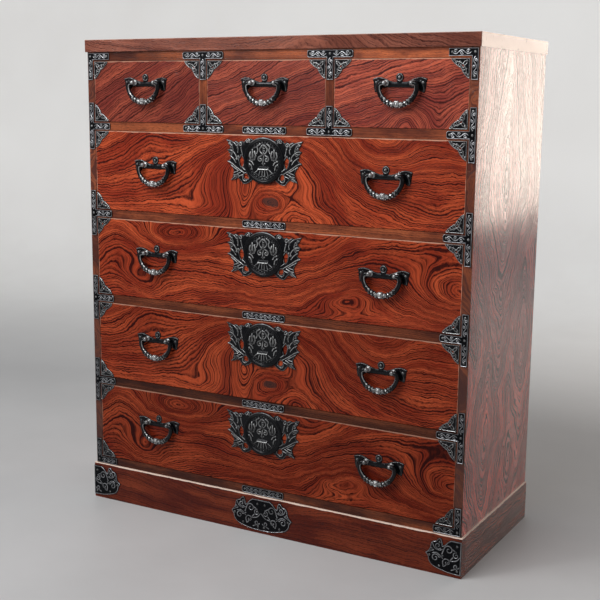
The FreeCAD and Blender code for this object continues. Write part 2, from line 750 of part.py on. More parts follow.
def bail():
    """The bail about its pivot line: a bent bar with a pin at each end and a flower at the bottom."""
    path = bail_path()
    start = FreeCAD.Vector(number("bail_half_width - bail_bend"), 0, 0)
    ring = Part.Wire(Part.makeCircle(number("bail_bar_radius"), start, FreeCAD.Vector(1, 0, 0)))
    half = path.makePipeShell([ring], True, True)
    pin_start = number("eye_x - eye_radius") + number("eye_gap")
    pin = Part.makeCylinder(number("pin_radius"), start.x - pin_start + number("bail_bar_radius") / 2,
                            FreeCAD.Vector(pin_start, 0, 0), FreeCAD.Vector(1, 0, 0))
    half = half.fuse(pin)
    thick = number("bail_flower_thickness")
    flower = rod(number("bail_flower_radius"), thick, 0, -thick / 2, -number("bail_drop"))
    return half.fuse([mirrored(half), flower])


# The pierced plate in the middle of a large drawer, about its own middle
def lock_plate():
    half_width = number("lock_half_width")
    thickness = number("lock_plate_thickness")
    depth = number("medallion_thickness")
    wing = plate_of(outline(LOCK_WING_SHARES, half_width, half_width), thickness)
    for window in LOCK_WINDOW_SHARES:
        cut = plate_of(outline(window, half_width, half_width), 3 * thickness)
        wing = wing.cut(moved(cut, 0, thickness, 0))
    wing = holed(wing, lock_nail_points(), thickness)
    disc = rod(number("medallion_radius"), depth, 0, -depth, 0)
    solid = disc.fuse([wing, mirrored(wing)])
    forward = FreeCAD.Vector(0, -1, 0)
    rims = [("medallion_radius - medallion_rim", "medallion_rim"),
            ("medallion_inner_radius", "medallion_inner_rim")]
    for radius, rim in rims:
        solid = solid.fuse(Part.makeTorus(number(radius), number(rim), FreeCAD.Vector(0, -depth, 0), forward))
    for x, z in LOCK_FLOWER_SHARES:
        solid = solid.fuse(boss(x * half_width, z * half_width, depth))
    ledge_width = number("lock_ledge_width")
    corner = FreeCAD.Vector(-ledge_width / 2, -depth - number("lock_relief"), LOCK_LEDGE_SHARE * half_width)
    return solid.fuse(Part.makeBox(ledge_width, number("lock_relief"), number("lock_ledge_height"), corner))


def boss(x, z, depth):
    """A round flower boss on the medallion."""
    radius = number("lock_flower_radius")
    relief = number("lock_relief")
    foot = FreeCAD.Vector(x, -depth, z)
    return Part.makeCone(radius, radius - relief, relief, foot, FreeCAD.Vector(0, -1, 0))


def lock_nail_points():
    half_width = number("lock_half_width")
    return [(x * half_width, z * half_width) for x, z in LOCK_NAIL_SHARES]


def lock_nails():
    seat = -number("lock_plate_thickness")
    half = [nail(x, seat, z) for x, z in lock_nail_points()]
    return half + [mirrored(shape) for shape in half]


# Drawers
def build_front(name, centre_x, low_z, width, height, posts):
    """A drawer's front, rabbeted for the box sides and bored for the handle posts."""
    body = keep(new_body(f"{name}_front"))
    wide = f"({width} - 2 * front_gap)"
    tall = f"({height} - 2 * front_gap)"
    low_x = f"{centre_x} - {wide} / 2"
    box_in(body, "Additive", (low_x, "face_y", f"{low_z} + front_gap"), (wide, "front_thickness", tall))
    for edge_x in (f"{low_x} - overrun", f"{centre_x} + {wide} / 2 - box_side_thickness"):
        box_in(body, "Subtractive",
               (edge_x, "face_y + front_thickness - box_rabbet", f"{low_z} - overrun"),
               ("box_side_thickness + overrun", "box_rabbet + overrun", f"{tall} + 4 * overrun"))
    face = number("face_y")
    dress_edges(body, "Fillet", "front_ease", lambda edge: lies_at_y(edge, face))
    for post_x, post_z in posts:
        hole_in(body, (post_x, "face_y", post_z), "post_radius + post_clearance", "front_thickness")


def build_box(name, centre_x, low_z, width, height):
    """A drawer's box as one group: bottom, two sides and back."""
    wide = f"({width} - 2 * front_gap)"
    floor = f"{low_z} + seat_gap"
    tall = f"({height} - seat_gap - box_headroom - box_bottom_thickness)"
    low_x = f"{centre_x} - {wide} / 2"
    inside = f"({wide} - 2 * box_side_thickness)"
    front_y = "face_y + front_thickness"
    depth = "(carcass_depth - back_thickness - seat_gap - front_thickness)"
    rear = f"{front_y} + {depth}"
    above = f"{floor} + box_bottom_thickness"
    side_sizes = ("box_side_thickness", f"{depth} + box_rabbet", tall)
    boards = [
        ("bottom", (low_x, front_y, floor), (wide, depth, "box_bottom_thickness")),
        ("left", (low_x, f"{front_y} - box_rabbet", above), side_sizes),
        ("right", (f"{low_x} + {wide} - box_side_thickness", f"{front_y} - box_rabbet", above), side_sizes),
        ("back", (f"{low_x} + box_side_thickness", f"{rear} - box_back_thickness", above),
         (inside, "box_back_thickness", tall)),
    ]
    links = []
    for board, low, size in boards:
        box = doc.addObject("Part::Box", f"{name}_{board}_board")
        bind(box, Length=size[0], Width=size[1], Height=size[2])
        place(box, low)
        links.append(box)
    group = doc.addObject("Part::Compound", f"{name}_box")
    group.Links = links
    keep(group)


def build_drawer(name, centre_x, low_z, width, height, handles, drop):
    """A whole drawer: front, box, irons, and one bail for each handle."""
    pivot_z = f"{low_z} + {height} - {drop}"
    posts = [(f"{centre_x} + {handle} {sign} eye_x", pivot_z)
             for handle in handles.values() for sign in ("-", "+")]
    build_front(name, centre_x, low_z, width, height, posts)
    build_box(name, centre_x, low_z, width, height)
    middle_x = number(centre_x)
    middle_z = number(f"{low_z} + {height} / 2")
    face = number("face_y")
    irons = corner_irons(number(f"{width} - 2 * front_gap"), number(f"{height} - 2 * front_gap"))
    for handle in handles.values():
        irons += [moved(piece, number(handle), 0, number(pivot_z) - middle_z) for piece in HANDLE_IRONS]
    has_lock = len(handles) > 1
    lock_z = number(f"{low_z} + {height} - lock_drop")
    if has_lock:
        irons += [moved(shape, 0, 0, lock_z - middle_z) for shape in lock_nails()]
    fittings = feature(f"{name}_fittings", Part.makeCompound(irons))
    seated(fittings, middle_x, face, middle_z)
    if has_lock:
        seated(feature(f"{name}_lock_plate", LOCK_PLATE), middle_x, face, lock_z)
    for label, handle in handles.items():
        item = feature(f"{name}_{label}", BAIL)
        seated(item, middle_x + number(handle), number("pivot_y"), number(pivot_z))


# Pieces that are made once and used on several drawers
CORNER_PLATE = corner_plate()
HANDLE_IRONS = handle_irons()
BAIL = bail()
LOCK_PLATE = lock_plate()

build_top_board()
build_side_board("left_side_board", -1)
build_side_board("right_side_board", 1)
build_back_boards()
build_shelves()
build_rails()
build_dividers()
build_base()
build_rail_plates()
build_side_tees()
build_corner_straps()
build_divider_tees()
build_base_plates()
build_frame_nails()
for column, place_share in COLUMNS:
    build_drawer(f"small_drawer_{column}", f"({place_share} * small_pitch)", "small_floor_z", "small_width",
                 "small_opening", {"bail": "0"}, "small_handle_drop")
for row in ROWS:
    build_drawer(f"large_drawer_{row}", "0", f"(small_floor_z - {row} * row_pitch)", "(2 * inner_half)",
                 "large_opening", {"left_bail": "-large_handle_x", "right_bail": "large_handle_x"},
                 "large_handle_drop")

doc.recompute()
for item in doc.Objects:
    if "Invalid" in item.State or "Error" in item.State:
        raise RuntimeError(f"{item.Label} did not recompute: {item.State}")
for item in parts:
    if item.Shape.isNull() or not item.Shape.isValid():
        raise RuntimeError(f"{item.Label} has no valid shape")

os.makedirs("parts", exist_ok=True)
for item in parts:
    item.Shape.exportStep(os.path.join("parts", f"{item.Label}.step"))
    box = item.Shape.BoundBox
    low = [round(value, 1) for value in (box.XMin, box.YMin, box.ZMin)]
    high = [round(value, 1) for value in (box.XMax, box.YMax, box.ZMax)]
    print(f"{item.Label}: {len(item.Shape.Solids)} solids, {item.Shape.Volume:.0f} mm3, from {low} to {high}")
print(f"{len(parts)} nodes")
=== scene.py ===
# %% [markdown]
# This lesson dresses a clothing chest: three small drawers over four wide ones, in figured hardwood under
# red lacquer, with black iron straps, corner plates, handles and pierced plates. The chest itself is loaded
# as a fixed frame, so every piece made here takes its place from a piece of that frame.

# %% Load the chest
import json
import math
import bpy
import numpy as np
from mathutils import Matrix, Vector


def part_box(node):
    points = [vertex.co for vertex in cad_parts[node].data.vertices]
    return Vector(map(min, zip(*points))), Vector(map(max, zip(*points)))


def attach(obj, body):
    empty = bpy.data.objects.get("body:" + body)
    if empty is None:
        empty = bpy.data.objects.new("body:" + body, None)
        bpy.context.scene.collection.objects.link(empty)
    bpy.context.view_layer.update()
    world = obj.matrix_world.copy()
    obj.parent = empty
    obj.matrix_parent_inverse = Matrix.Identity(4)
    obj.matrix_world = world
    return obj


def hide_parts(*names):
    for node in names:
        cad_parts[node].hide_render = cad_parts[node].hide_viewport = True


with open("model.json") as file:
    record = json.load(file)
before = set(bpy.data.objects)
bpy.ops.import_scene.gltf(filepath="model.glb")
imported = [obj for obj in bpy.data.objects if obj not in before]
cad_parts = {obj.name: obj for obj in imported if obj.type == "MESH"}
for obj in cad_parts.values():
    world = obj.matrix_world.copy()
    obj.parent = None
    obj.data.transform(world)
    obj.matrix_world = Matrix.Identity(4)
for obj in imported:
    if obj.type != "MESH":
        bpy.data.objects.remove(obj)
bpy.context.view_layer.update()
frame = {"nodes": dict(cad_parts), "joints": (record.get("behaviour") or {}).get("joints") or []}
nodes = frame["nodes"]

# %% [markdown]
# The camera comes first, because it decides which details can be seen. It stands to the right of the chest,
# a little under its top, and looks down and to the left. A long lens keeps the upright edges nearly parallel.

# %% The camera
CAMERA_PLACE = (1.3633, -2.46245, 1.0574)
CAMERA_TURN = math.radians(-29.54)
CAMERA_DIP = math.radians(10.65)
CAMERA_ROLL = math.radians(-0.56)
FOCAL_LENGTH = 67.17
FRAME_SHIFT = (0.0068, 0.0173)


def camera_frame(turn, dip, roll):
    """The camera's right, up and back directions as the columns of a matrix."""
    ahead = np.array([math.sin(turn) * math.cos(dip), math.cos(turn) * math.cos(dip), -math.sin(dip)])
    level = np.array([math.cos(turn), -math.sin(turn), 0.0])
    down = np.cross(ahead, level)
    right = math.cos(roll) * level + math.sin(roll) * down
    low = math.cos(roll) * down - math.sin(roll) * level
    return Matrix(np.column_stack([right, -low, -ahead]).tolist()).to_4x4()


lens = bpy.data.cameras.new("photo_camera")
lens.lens = FOCAL_LENGTH
lens.sensor_width = 36
lens.shift_x, lens.shift_y = FRAME_SHIFT
camera = bpy.data.objects.new("photo_camera", lens)
camera.matrix_world = Matrix.Translation(CAMERA_PLACE) @ camera_frame(CAMERA_TURN, CAMERA_DIP, CAMERA_ROLL)
bpy.context.scene.collection.objects.link(camera)
bpy.context.scene.camera = camera
print("camera stands at", CAMERA_PLACE, "with a lens of", FOCAL_LENGTH, "mm")

# %% [markdown]
# Materials are networks of small nodes. Placing them one by one takes many lines, so a bench does the
# placing: each of its tools adds one node, fills its sockets with a value or a link, and hands back the result.


# %% A bench for placing nodes
class Bench:
    """Places nodes in one tree."""

    def __init__(self, tree):
        self.tree = tree

    def fill(self, socket, value):
        if isinstance(value, bpy.types.NodeSocket):
            self.tree.links.new(value, socket)
        else:
            socket.default_value = value

    def math(self, operation, *values):
        node = self.tree.nodes.new("ShaderNodeMath")
        node.operation = operation
        for socket, value in zip(node.inputs, values):
            self.fill(socket, value)
        return node.outputs[0]

    def spread(self, value, low, high, start=0.0, end=1.0):
        """Stretches a value from low..high to start..end, and stops there."""
        node = self.tree.nodes.new("ShaderNodeMapRange")
        for socket, given in zip(node.inputs, (value, low, high, start, end)):
            self.fill(socket, given)
        return node.outputs[0]

    def noise(self, place, scale, detail=2.0, roughness=0.5, line=False):
        """Noise at a place, or along a line of numbers."""
        node = self.tree.nodes.new("ShaderNodeTexNoise")
        node.noise_dimensions = "1D" if line else "3D"
        self.fill(node.inputs["W" if line else "Vector"], place)
        node.inputs["Scale"].default_value = scale
        node.inputs["Detail"].default_value = detail
        node.inputs["Roughness"].default_value = roughness
        return node

    def here(self):
        """The place on the object, in metres."""
        return self.tree.nodes.new("ShaderNodeTexCoord").outputs["Object"]

    def join(self, x, y, z):
        node = self.tree.nodes.new("ShaderNodeCombineXYZ")
        for socket, value in zip(node.inputs, (x, y, z)):
            self.fill(socket, value)
        return node.outputs[0]

    def part(self, vector):
        node = self.tree.nodes.new("ShaderNodeSeparateXYZ")
        self.fill(node.inputs[0], vector)
        return node.outputs[0], node.outputs[1], node.outputs[2]

    def blend(self, share, first, second, way="MIX"):
        """Mixes two colours."""
        node = self.tree.nodes.new("ShaderNodeMix")
        node.data_type = "RGBA"
        node.blend_type = way
        self.fill(node.inputs[0], share)
        self.fill(node.inputs[6], first)
        self.fill(node.inputs[7], second)
        return node.outputs[2]

    def place(self, group, **values):
        """Places a node group and fills its named inputs."""
        node = self.tree.nodes.new("ShaderNodeGroup")
        node.node_tree = group
        for name, value in values.items():
            self.fill(node.inputs[name.replace("_", " ")], value)
        return node.outputs

    def bump(self, shader, relief, strength, distance):
        """Lets a relief tilt the light on a surface; distance is its height in metres."""
        node = self.tree.nodes.new("ShaderNodeBump")
        node.inputs["Strength"].default_value = strength
        node.inputs["Distance"].default_value = distance
        self.fill(node.inputs["Height"], relief)
        self.fill(shader.inputs["Normal"], node.outputs["Normal"])


def new_group(name, inputs, outputs):
    """A shader node group with named inputs and outputs, and a bench in it."""
    group = bpy.data.node_groups.new(name, "ShaderNodeTree")
    for label, kind, value in inputs:
        group.interface.new_socket(label, in_out="INPUT", socket_type=f"NodeSocket{kind}").default_value = value
    for label, kind in outputs:
        group.interface.new_socket(label, in_out="OUTPUT", socket_type=f"NodeSocket{kind}")
    return group, Bench(group), group.nodes.new("NodeGroupInput").outputs, group.nodes.new("NodeGroupOutput").inputs


def new_material(name):
    """A material with its surface shader, and a bench in it."""
    material = bpy.data.materials.new(name)
    material.use_nodes = True
    tree = material.node_tree
    return material, Bench(tree), tree.nodes["Principled BSDF"]


print("bench ready")

# %% [markdown]
# A flat-sawn board cuts through the yearly rings of a tree, and its figure is like a map of hills: each dark
# line joins places of one height. So the figure is made from heights. A board starts as an even slope, which
# gives straight lines, and hills and hollows laid on it bend the lines into flames, eyes and swirls.

# %% A hill in the grain
grain_hill, bench, given, result = new_group(
    "grain_hill",
    [("Across", "Float", 0.0), ("Up", "Float", 0.0), ("Middle Across", "Float", 0.0), ("Middle Up", "Float", 0.0),
     ("Reach Across", "Float", 0.1), ("Reach Up", "Float", 0.1), ("Tilt", "Float", 0.0), ("Lift", "Float", 0.05)],
    [("Height", "Float")])
from_x = bench.math("SUBTRACT", given["Across"], given["Middle Across"])
from_z = bench.math("SUBTRACT", given["Up"], given["Middle Up"])
cosine = bench.math("COSINE", given["Tilt"])
sine = bench.math("SINE", given["Tilt"])
turned_x = bench.math("ADD", bench.math("MULTIPLY", from_x, cosine), bench.math("MULTIPLY", from_z, sine))
turned_z = bench.math("SUBTRACT", bench.math("MULTIPLY", from_z, cosine), bench.math("MULTIPLY", from_x, sine))
share_x = bench.math("DIVIDE", turned_x, given["Reach Across"])
share_z = bench.math("DIVIDE", turned_z, given["Reach Up"])
far = bench.math("ADD", bench.math("MULTIPLY", share_x, share_x), bench.math("MULTIPLY", share_z, share_z))
fall = bench.math("EXPONENT", bench.math("MULTIPLY", far, -1.0))
bench.fill(result["Height"], bench.math("MULTIPLY", fall, given["Lift"]))
print("group made:", grain_hill.name)

# %% [markdown]
# Each yearly ring starts with a band of open pores, which take up the dark stain, and fades into plain wood.
# The heights are cut into rings of uneven width; every ring gets a sharp dark edge that fades, finer rings
# between, and short pores. Some years in a row are darker than others. The pores are stretched along the
# lines, by reading noise at place and height.

# %% The lines of the grain
grain_lines, bench, given, result = new_group(
    "grain_lines",
    [("Height", "Float", 0.0), ("Along", "Float", 0.0), ("Ring", "Float", 0.008), ("Seed", "Float", 0.0)],
    [("Rings", "Float"), ("Pores", "Float"), ("Clouds", "Float"), ("Relief", "Float")])
count = bench.math("ADD", bench.math("DIVIDE", given["Height"], given["Ring"]), given["Seed"])
uneven = bench.noise(count, 0.4, 2.0, 0.6, line=True).outputs["Fac"]
count = bench.math("MULTIPLY_ADD", uneven, 2.3, count)
share = bench.math("FRACT", count)
band = bench.math("MULTIPLY", bench.spread(share, 0.0, 0.12), bench.spread(share, 0.26, 0.66, 1.0, 0.0))
strength = bench.spread(bench.noise(bench.math("FLOOR", count), 0.73, 0.0, line=True).outputs["Fac"],
                        0.32, 0.58, 0.62, 1.0)
seasons = bench.spread(bench.noise(bench.math("ADD", count, 40.0), 0.21, 1.0, line=True).outputs["Fac"], 0.36, 0.6)
main = bench.math("MULTIPLY", bench.math("MULTIPLY", band, strength), bench.math("MULTIPLY_ADD", seasons, 0.3, 0.78))
fine_share = bench.math("FRACT", bench.math("MULTIPLY", count, 2.61))
fine = bench.math("MULTIPLY", bench.math("EXPONENT", bench.math("MULTIPLY", fine_share, -2.4)), 0.6)
rings = bench.math("MAXIMUM", main, fine)
patchy = bench.noise(bench.join(bench.math("MULTIPLY", given["Along"], 16.0),
                                bench.math("MULTIPLY", given["Height"], 50.0), given["Seed"]), 1.0, 2.0)
rings = bench.math("MULTIPLY", rings, bench.spread(patchy.outputs["Fac"], 0.34, 0.52, 0.62, 1.0))
streaks = bench.noise(bench.join(bench.math("MULTIPLY", given["Along"], 120.0),
                                 bench.math("MULTIPLY", given["Height"], 620.0), given["Seed"]), 1.0, 2.0, 0.65)
pores = bench.spread(streaks.outputs["Fac"], 0.46, 0.62)
rings = bench.math("MULTIPLY", rings, bench.math("MULTIPLY_ADD", pores, 0.4, 0.8))
bench.fill(result["Rings"], rings)
bench.fill(result["Pores"], bench.math("MULTIPLY", pores, bench.math("MULTIPLY_ADD", rings, 0.6, 0.3)))
cloud = bench.noise(bench.join(bench.math("MULTIPLY", given["Along"], 6.0),
                               bench.math("MULTIPLY", given["Height"], 22.0), given["Seed"]), 1.0, 3.0, 0.6)
cloud = bench.spread(cloud.outputs["Fac"], 0.38, 0.6)
bench.fill(result["Clouds"], bench.math("MULTIPLY", cloud, bench.math("MULTIPLY_ADD", seasons, -0.5, 1.0)))
bench.fill(result["Relief"], bench.math("MULTIPLY", bench.math("ADD", rings, pores), -0.5))
print("group made:", grain_lines.name)

# %% [markdown]
# Red lacquer over hardwood has three colours: a glowing orange-red where the wood is plain, a deeper red-brown
# in cloudy areas, and nearly black in the lines and pores. A group mixes them, so that every board of the
# chest can be given its own three colours and its own share of each.

# %% The lacquered colour
lacquered_grain, bench, given, result = new_group(
    "lacquered_grain",
    [("Rings", "Float", 0.0), ("Pores", "Float", 0.0), ("Clouds", "Float", 0.5), ("Line Strength", "Float", 0.8),
     ("Light", "Color", (0.42, 0.09, 0.04, 1)), ("Deep", "Color", (0.25, 0.04, 0.016, 1)),
     ("Line", "Color", (0.06, 0.011, 0.007, 1)), ("Gloss", "Float", 0.2)],
    [("Color", "Color"), ("Roughness", "Float")])
ground = bench.blend(given["Clouds"], given["Deep"], given["Light"])
lined = bench.blend(bench.math("MULTIPLY", given["Rings"], given["Line Strength"]), ground, given["Line"])
pored = bench.blend(bench.math("MULTIPLY", given["Pores"], 0.6), lined, given["Line"])
bench.fill(result["Color"], pored)
bench.fill(result["Roughness"], bench.math("MULTIPLY_ADD", given["Pores"], 0.12, given["Gloss"]))
print("group made:", lacquered_grain.name)

# %% [markdown]
# Along its edges a drawer front gets a pale line: a painted highlight where the rounded edge would catch the light.
# The group turns the distance from an edge into a mask, and noise makes the line swell and break off.

# %% Painted highlights on edges
edge_highlight, bench, given, result = new_group(
    "edge_highlight", [("Distance", "Float", 0.0), ("Width", "Float", 0.002)], [("Mask", "Float")])
place = bench.here()
ragged = bench.noise(place, 35.0, 3.0, 0.6).outputs["Fac"]
reach = bench.math("MULTIPLY", given["Width"], bench.spread(ragged, 0.3, 0.6, 0.35, 1.3))
near = bench.math("DIVIDE", given["Distance"], bench.math("MAXIMUM", reach, 0.0001))
bench.fill(result["Mask"], bench.spread(near, 0.7, 1.1, 1.0, 0.0))
print("group made:", edge_highlight.name)

# %% [markdown]
# Every board is a little different, so one function builds a board's material from its own facts: which way
# the grain runs, where its middle is, its hills, its ring width and its colours. Before the heights are read,
# the place is shifted by slow and by quick noise, which makes the lines waver as they do in real wood.

# %% A lacquered board
MM = 0.001
RED_LIGHT = (0.74, 0.125, 0.042, 1)
RED_DEEP = (0.33, 0.036, 0.014, 1)
RED_LINE = (0.04, 0.005, 0.004, 1)
KNOT = (0.036, 0.023, 0.021, 1)
SHADED_HALF = 0.45
FACE_DEPTH = 0.205
DEPTH_SHARE = 0.35  # how far the figure climbs per metre of depth, so that a board's edge shows lines as well


def shade(colour, tone):
    return tuple(value * tone for value in colour[:3]) + (1,)


def grain_of(bench, grain_axis, middle, slope, hills, ring, seed, waver=6.0, knots=()):
    """The grain's outputs and a mask of its knots. The grain runs along one axis: 0 for X, 1 for Y, 2 for Z.
    A hill is its place along and across the grain, its reach both ways, its tilt in degrees and its height; a
    knot is its place and its reach. Lengths are in millimetres."""
    place = bench.here()
    slow = bench.noise(place, 20.0, 1.0).outputs["Color"]
    quick = bench.noise(place, 100.0, 1.0).outputs["Color"]
    x, y, z = bench.part(place)
    slow_x, slow_y = bench.part(slow)[:2]
    quick_y = bench.part(quick)[1]
    along, across, deep, share = {0: (x, z, y, DEPTH_SHARE), 1: (y, z, x, 0.6), 2: (z, x, y, DEPTH_SHARE)}[grain_axis]
    along = bench.math("SUBTRACT", along, middle[0])
    across = bench.math("SUBTRACT", bench.math("MULTIPLY_ADD", deep, share, across), middle[1])
    along = bench.math("MULTIPLY_ADD", bench.math("SUBTRACT", slow_x, 0.5), 4 * waver * MM, along)
    across = bench.math("MULTIPLY_ADD", bench.math("SUBTRACT", slow_y, 0.5), 3.2 * waver * MM, across)
    across = bench.math("MULTIPLY_ADD", bench.math("SUBTRACT", quick_y, 0.5), 0.9 * waver * MM, across)
    height = bench.math("MULTIPLY_ADD", along, slope, across)
    for hill_along, hill_across, reach_along, reach_across, tilt, lift in hills:
        hill = bench.place(grain_hill, Across=along, Up=across, Middle_Across=hill_along * MM,
                           Middle_Up=hill_across * MM, Reach_Across=reach_along * MM,
                           Reach_Up=reach_across * MM, Tilt=math.radians(tilt), Lift=lift * MM)
        height = bench.math("ADD", height, hill["Height"])
    in_knot = 0.0
    for knot_along, knot_across, reach_along, reach_across in knots:
        knot = bench.place(grain_hill, Across=along, Up=across, Middle_Across=knot_along * MM,
                           Middle_Up=knot_across * MM, Reach_Across=reach_along * MM,
                           Reach_Up=reach_across * MM, Lift=1.0)
        in_knot = bench.math("MAXIMUM", in_knot, bench.spread(knot["Height"], 0.3, 0.5, 0.0, 0.85))
    return bench.place(grain_lines, Height=height, Along=along, Ring=ring * MM, Seed=seed), in_knot


def lacquered_board(name, grain_axis, middle, slope=0.0, hills=(), ring=8.0, seed=0.0, tone=1.0, line=0.8,
                    light=RED_LIGHT, deep=RED_DEEP, dark=RED_LINE, waver=6.0, specular=0.16, coat=0.0, painted_highlight=None,
                    gloss=0.17, knots=(), side_highlight=True, ends=None):
    """The edge-line argument gives the node whose upper edge gets a pale line, a painted highlight, with the width
    and colour of that line; the side argument adds the line on its side edges. ends are the shares of the colour at
    the left and right end of the board, a painted shade."""
    material, bench, shader = new_material(name)
    grain, in_knot = grain_of(bench, grain_axis, middle, slope, hills, ring, seed, waver, knots)
    paint = bench.place(lacquered_grain, Rings=grain["Rings"], Pores=grain["Pores"], Clouds=grain["Clouds"],
                        Line_Strength=line, Light=shade(light, tone), Deep=shade(deep, tone),
                        Line=shade(dark, tone), Gloss=gloss)
    colour = paint["Color"]
    if knots:
        colour = bench.blend(in_knot, colour, shade(KNOT, tone))
    # A pale line along the board's edges: a painted highlight.
    if painted_highlight:
        node_name, width, worn_colour = painted_highlight
        low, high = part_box(node_name)
        x, _, z = bench.part(bench.here())
        distance = bench.math("SUBTRACT", high.z, z)
        if side_highlight:
            sides = bench.math("MINIMUM", bench.math("SUBTRACT", x, low.x), bench.math("SUBTRACT", high.x, x))
            distance = bench.math("MINIMUM", distance, bench.math("ADD", sides, 0.4 * width * MM))
        mask = bench.place(edge_highlight, Distance=distance, Width=width * MM)["Mask"]
        colour = bench.blend(mask, colour, shade(worn_colour, tone))
    # The colour is scaled from one end of the board to the other: a painted shade.
    if ends:
        x = bench.part(bench.here())[0]
        share = bench.spread(x, -SHADED_HALF, SHADED_HALF, *ends)
        colour = bench.blend(1.0, colour, bench.join(share, share, share), "MULTIPLY")
    bench.fill(shader.inputs["Base Color"], colour)
    bench.fill(shader.inputs["Roughness"], paint["Roughness"])
    bench.bump(shader, grain["Relief"], 0.35, 0.0003)
    shader.inputs["Specular IOR Level"].default_value = specular
    shader.inputs["Coat Weight"].default_value = coat
    shader.inputs["Coat Roughness"].default_value = 0.06
    return material


def wear(node_name, material):
    """Gives a loaded piece its material."""
    for slot in nodes[node_name].material_slots:
        slot.material = material


def middle_of(node_name):
    low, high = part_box(node_name)
    return (low + high) / 2


def face_middle_of(node_name):
    """A front board's middle, across and up its outer face, as the grain reads it."""
    middle = middle_of(node_name)
    return middle.x, middle.z - DEPTH_SHARE * FACE_DEPTH


print("board maker ready")

# %% [markdown]
# The four wide drawers are cut from two matched boards: the first and third drawers share one figure, the
# second and fourth the other. One has flames that rise to a knot below the middle plate and a bowl on its
# right; the other has a long eye on the left and nested arches that open to the right edge.

# %% Fronts of the wide drawers
RISING_FLAMES = [(20, 40, 230, 120, 0, -190), (292, 84, 105, 80, 0, 150), (16, -60, 34, 20, 0, 50),
                 (505, 110, 90, 75, 0, 80), (-330, 100, 100, 70, 30, -60), (-180, -80, 70, 40, 20, 25),
                 (100, -100, 70, 34, 0, -40), (-60, -40, 30, 60, 0, -35), (420, -70, 80, 40, 0, 25)]
LONG_EYE = [(-250, 66, 105, 34, 0, 95), (-440, 50, 100, 110, 0, -70), (505, -20, 130, 66, 0, 150),
            (215, -48, 95, 28, 8, -60), (30, -30, 150, 110, 0, 60), (-20, -95, 120, 40, 0, -40),
            (150, 70, 90, 50, 25, 35), (-360, -60, 80, 40, -20, 40)]
# The wide fronts are painted darker row by row towards the base: a painted shade for the light falling off from
# above.
WIDE_SHADE_TONES = (1.07, 0.95, 0.8, 0.66)
WIDE_SHINE = (0.15, 0.12, 0.08, 0.07)
FLAME_KNOT = (16, -60, 22, 10)
# The colour and width of the pale line along each front's edges, a painted highlight.
FRONT_EDGE_HIGHLIGHT = (0.62, 0.3, 0.2, 1)
EDGE_HIGHLIGHT_WIDE = 2.2
for row, (tone, shine) in enumerate(zip(WIDE_SHADE_TONES, WIDE_SHINE), 1):
    name = f"large_drawer_{row}_front"
    flames = row in (1, 3)
    board = lacquered_board(f"lacquered_{name}", 0, face_middle_of(name), slope=0.0 if flames else -0.12,
                            hills=RISING_FLAMES if flames else LONG_EYE, ring=5.8, seed=3.0 + row * 0.21,
                            tone=tone, line=1.4, painted_highlight=(name, EDGE_HIGHLIGHT_WIDE, FRONT_EDGE_HIGHLIGHT), specular=shine,
                            knots=[FLAME_KNOT] if flames else [])
    wear(name, board)
    print(name, "grain about", [round(v, 3) for v in middle_of(name)])

# %% [markdown]
# The small drawers come from one board as well. Its lines climb to the right in narrow bands, flatter at the
# top, and the right one ends in a swirl near its lower edge.

# %% Fronts of the small drawers
SMALL_FIGURES = {
    "left": (-0.62, [(-40, 90, 150, 60, 0, 20), (120, -60, 90, 60, 0, 25)]),
    "middle": (-0.42, [(-80, 60, 120, 60, 0, 25), (60, -70, 110, 60, 0, -30)]),
    "right": (-0.28, [(20, -62, 60, 52, 0, -75), (85, -80, 45, 60, 0, 50), (-100, -75, 60, 50, 0, -35)]),
}
SMALL_TONES = {"left": 0.76, "middle": 0.88, "right": 1.12}
# The small fronts' purplish colours are partly the board's own colour and partly a painted reflection of the bright
# room in the lacquer.
DUSKY_AND_REFLECTION = {"light": (0.66, 0.14, 0.075, 1), "deep": (0.3, 0.05, 0.035, 1), "dark": (0.06, 0.011, 0.01, 1)}
for column, (slope, hills) in SMALL_FIGURES.items():
    name = f"small_drawer_{column}_front"
    wear(name, lacquered_board(f"lacquered_{name}", 0, face_middle_of(name), slope=slope, hills=hills, ring=6.2,
                               seed=11.0 + middle_of(name).x, tone=SMALL_TONES[column], line=1.4,
                               painted_highlight=(name, EDGE_HIGHLIGHT_WIDE, FRONT_EDGE_HIGHLIGHT), **DUSKY_AND_REFLECTION))
print("small fronts done")

# %% [markdown]
# The frame is plainer: straight-grained rails, dividers and base in an orange brown, and two side boards with
# tall arches of dark grain under a thick, glossy coat. The coat is why the right side mirrors a pale lamp.

# %% The frame's boards
BROWN_LIGHT = (0.5, 0.13, 0.05, 1)
BROWN_DEEP = (0.13, 0.032, 0.018, 1)
BROWN_LINE = (0.045, 0.012, 0.008, 1)
BROWN = {"light": BROWN_LIGHT, "deep": BROWN_DEEP, "dark": BROWN_LINE, "line": 0.7, "waver": 3.0}
# Each rail is painted darker the lower it stands, a painted shade for light falling off towards the base, and it
# grows lighter or darker from its left end to its right.
RAIL_SHADE_ENDS = {"top_rail": (0.55, 1.6), "rail_1": (0.85, 1.35), "rail_2": (1.0, 1.1), "rail_3": (0.62, 0.66),
             "rail_4": (0.3, 0.34), "bottom_rail": (0.4, 0.52)}
for index, (name, ends) in enumerate(RAIL_SHADE_ENDS.items()):
    middle = middle_of(name)
    wear(name, lacquered_board(f"lacquered_{name}", 0, (middle.x, middle.z), slope=0.02, ring=4.5,
                               seed=index * 2.7 + 1, ends=ends, **BROWN))
for index, name in enumerate(("left_divider", "right_divider")):
    middle = middle_of(name)
    wear(name, lacquered_board(f"lacquered_{name}", 2, (middle.z, middle.x), ring=4.0, seed=20 + index, **BROWN))
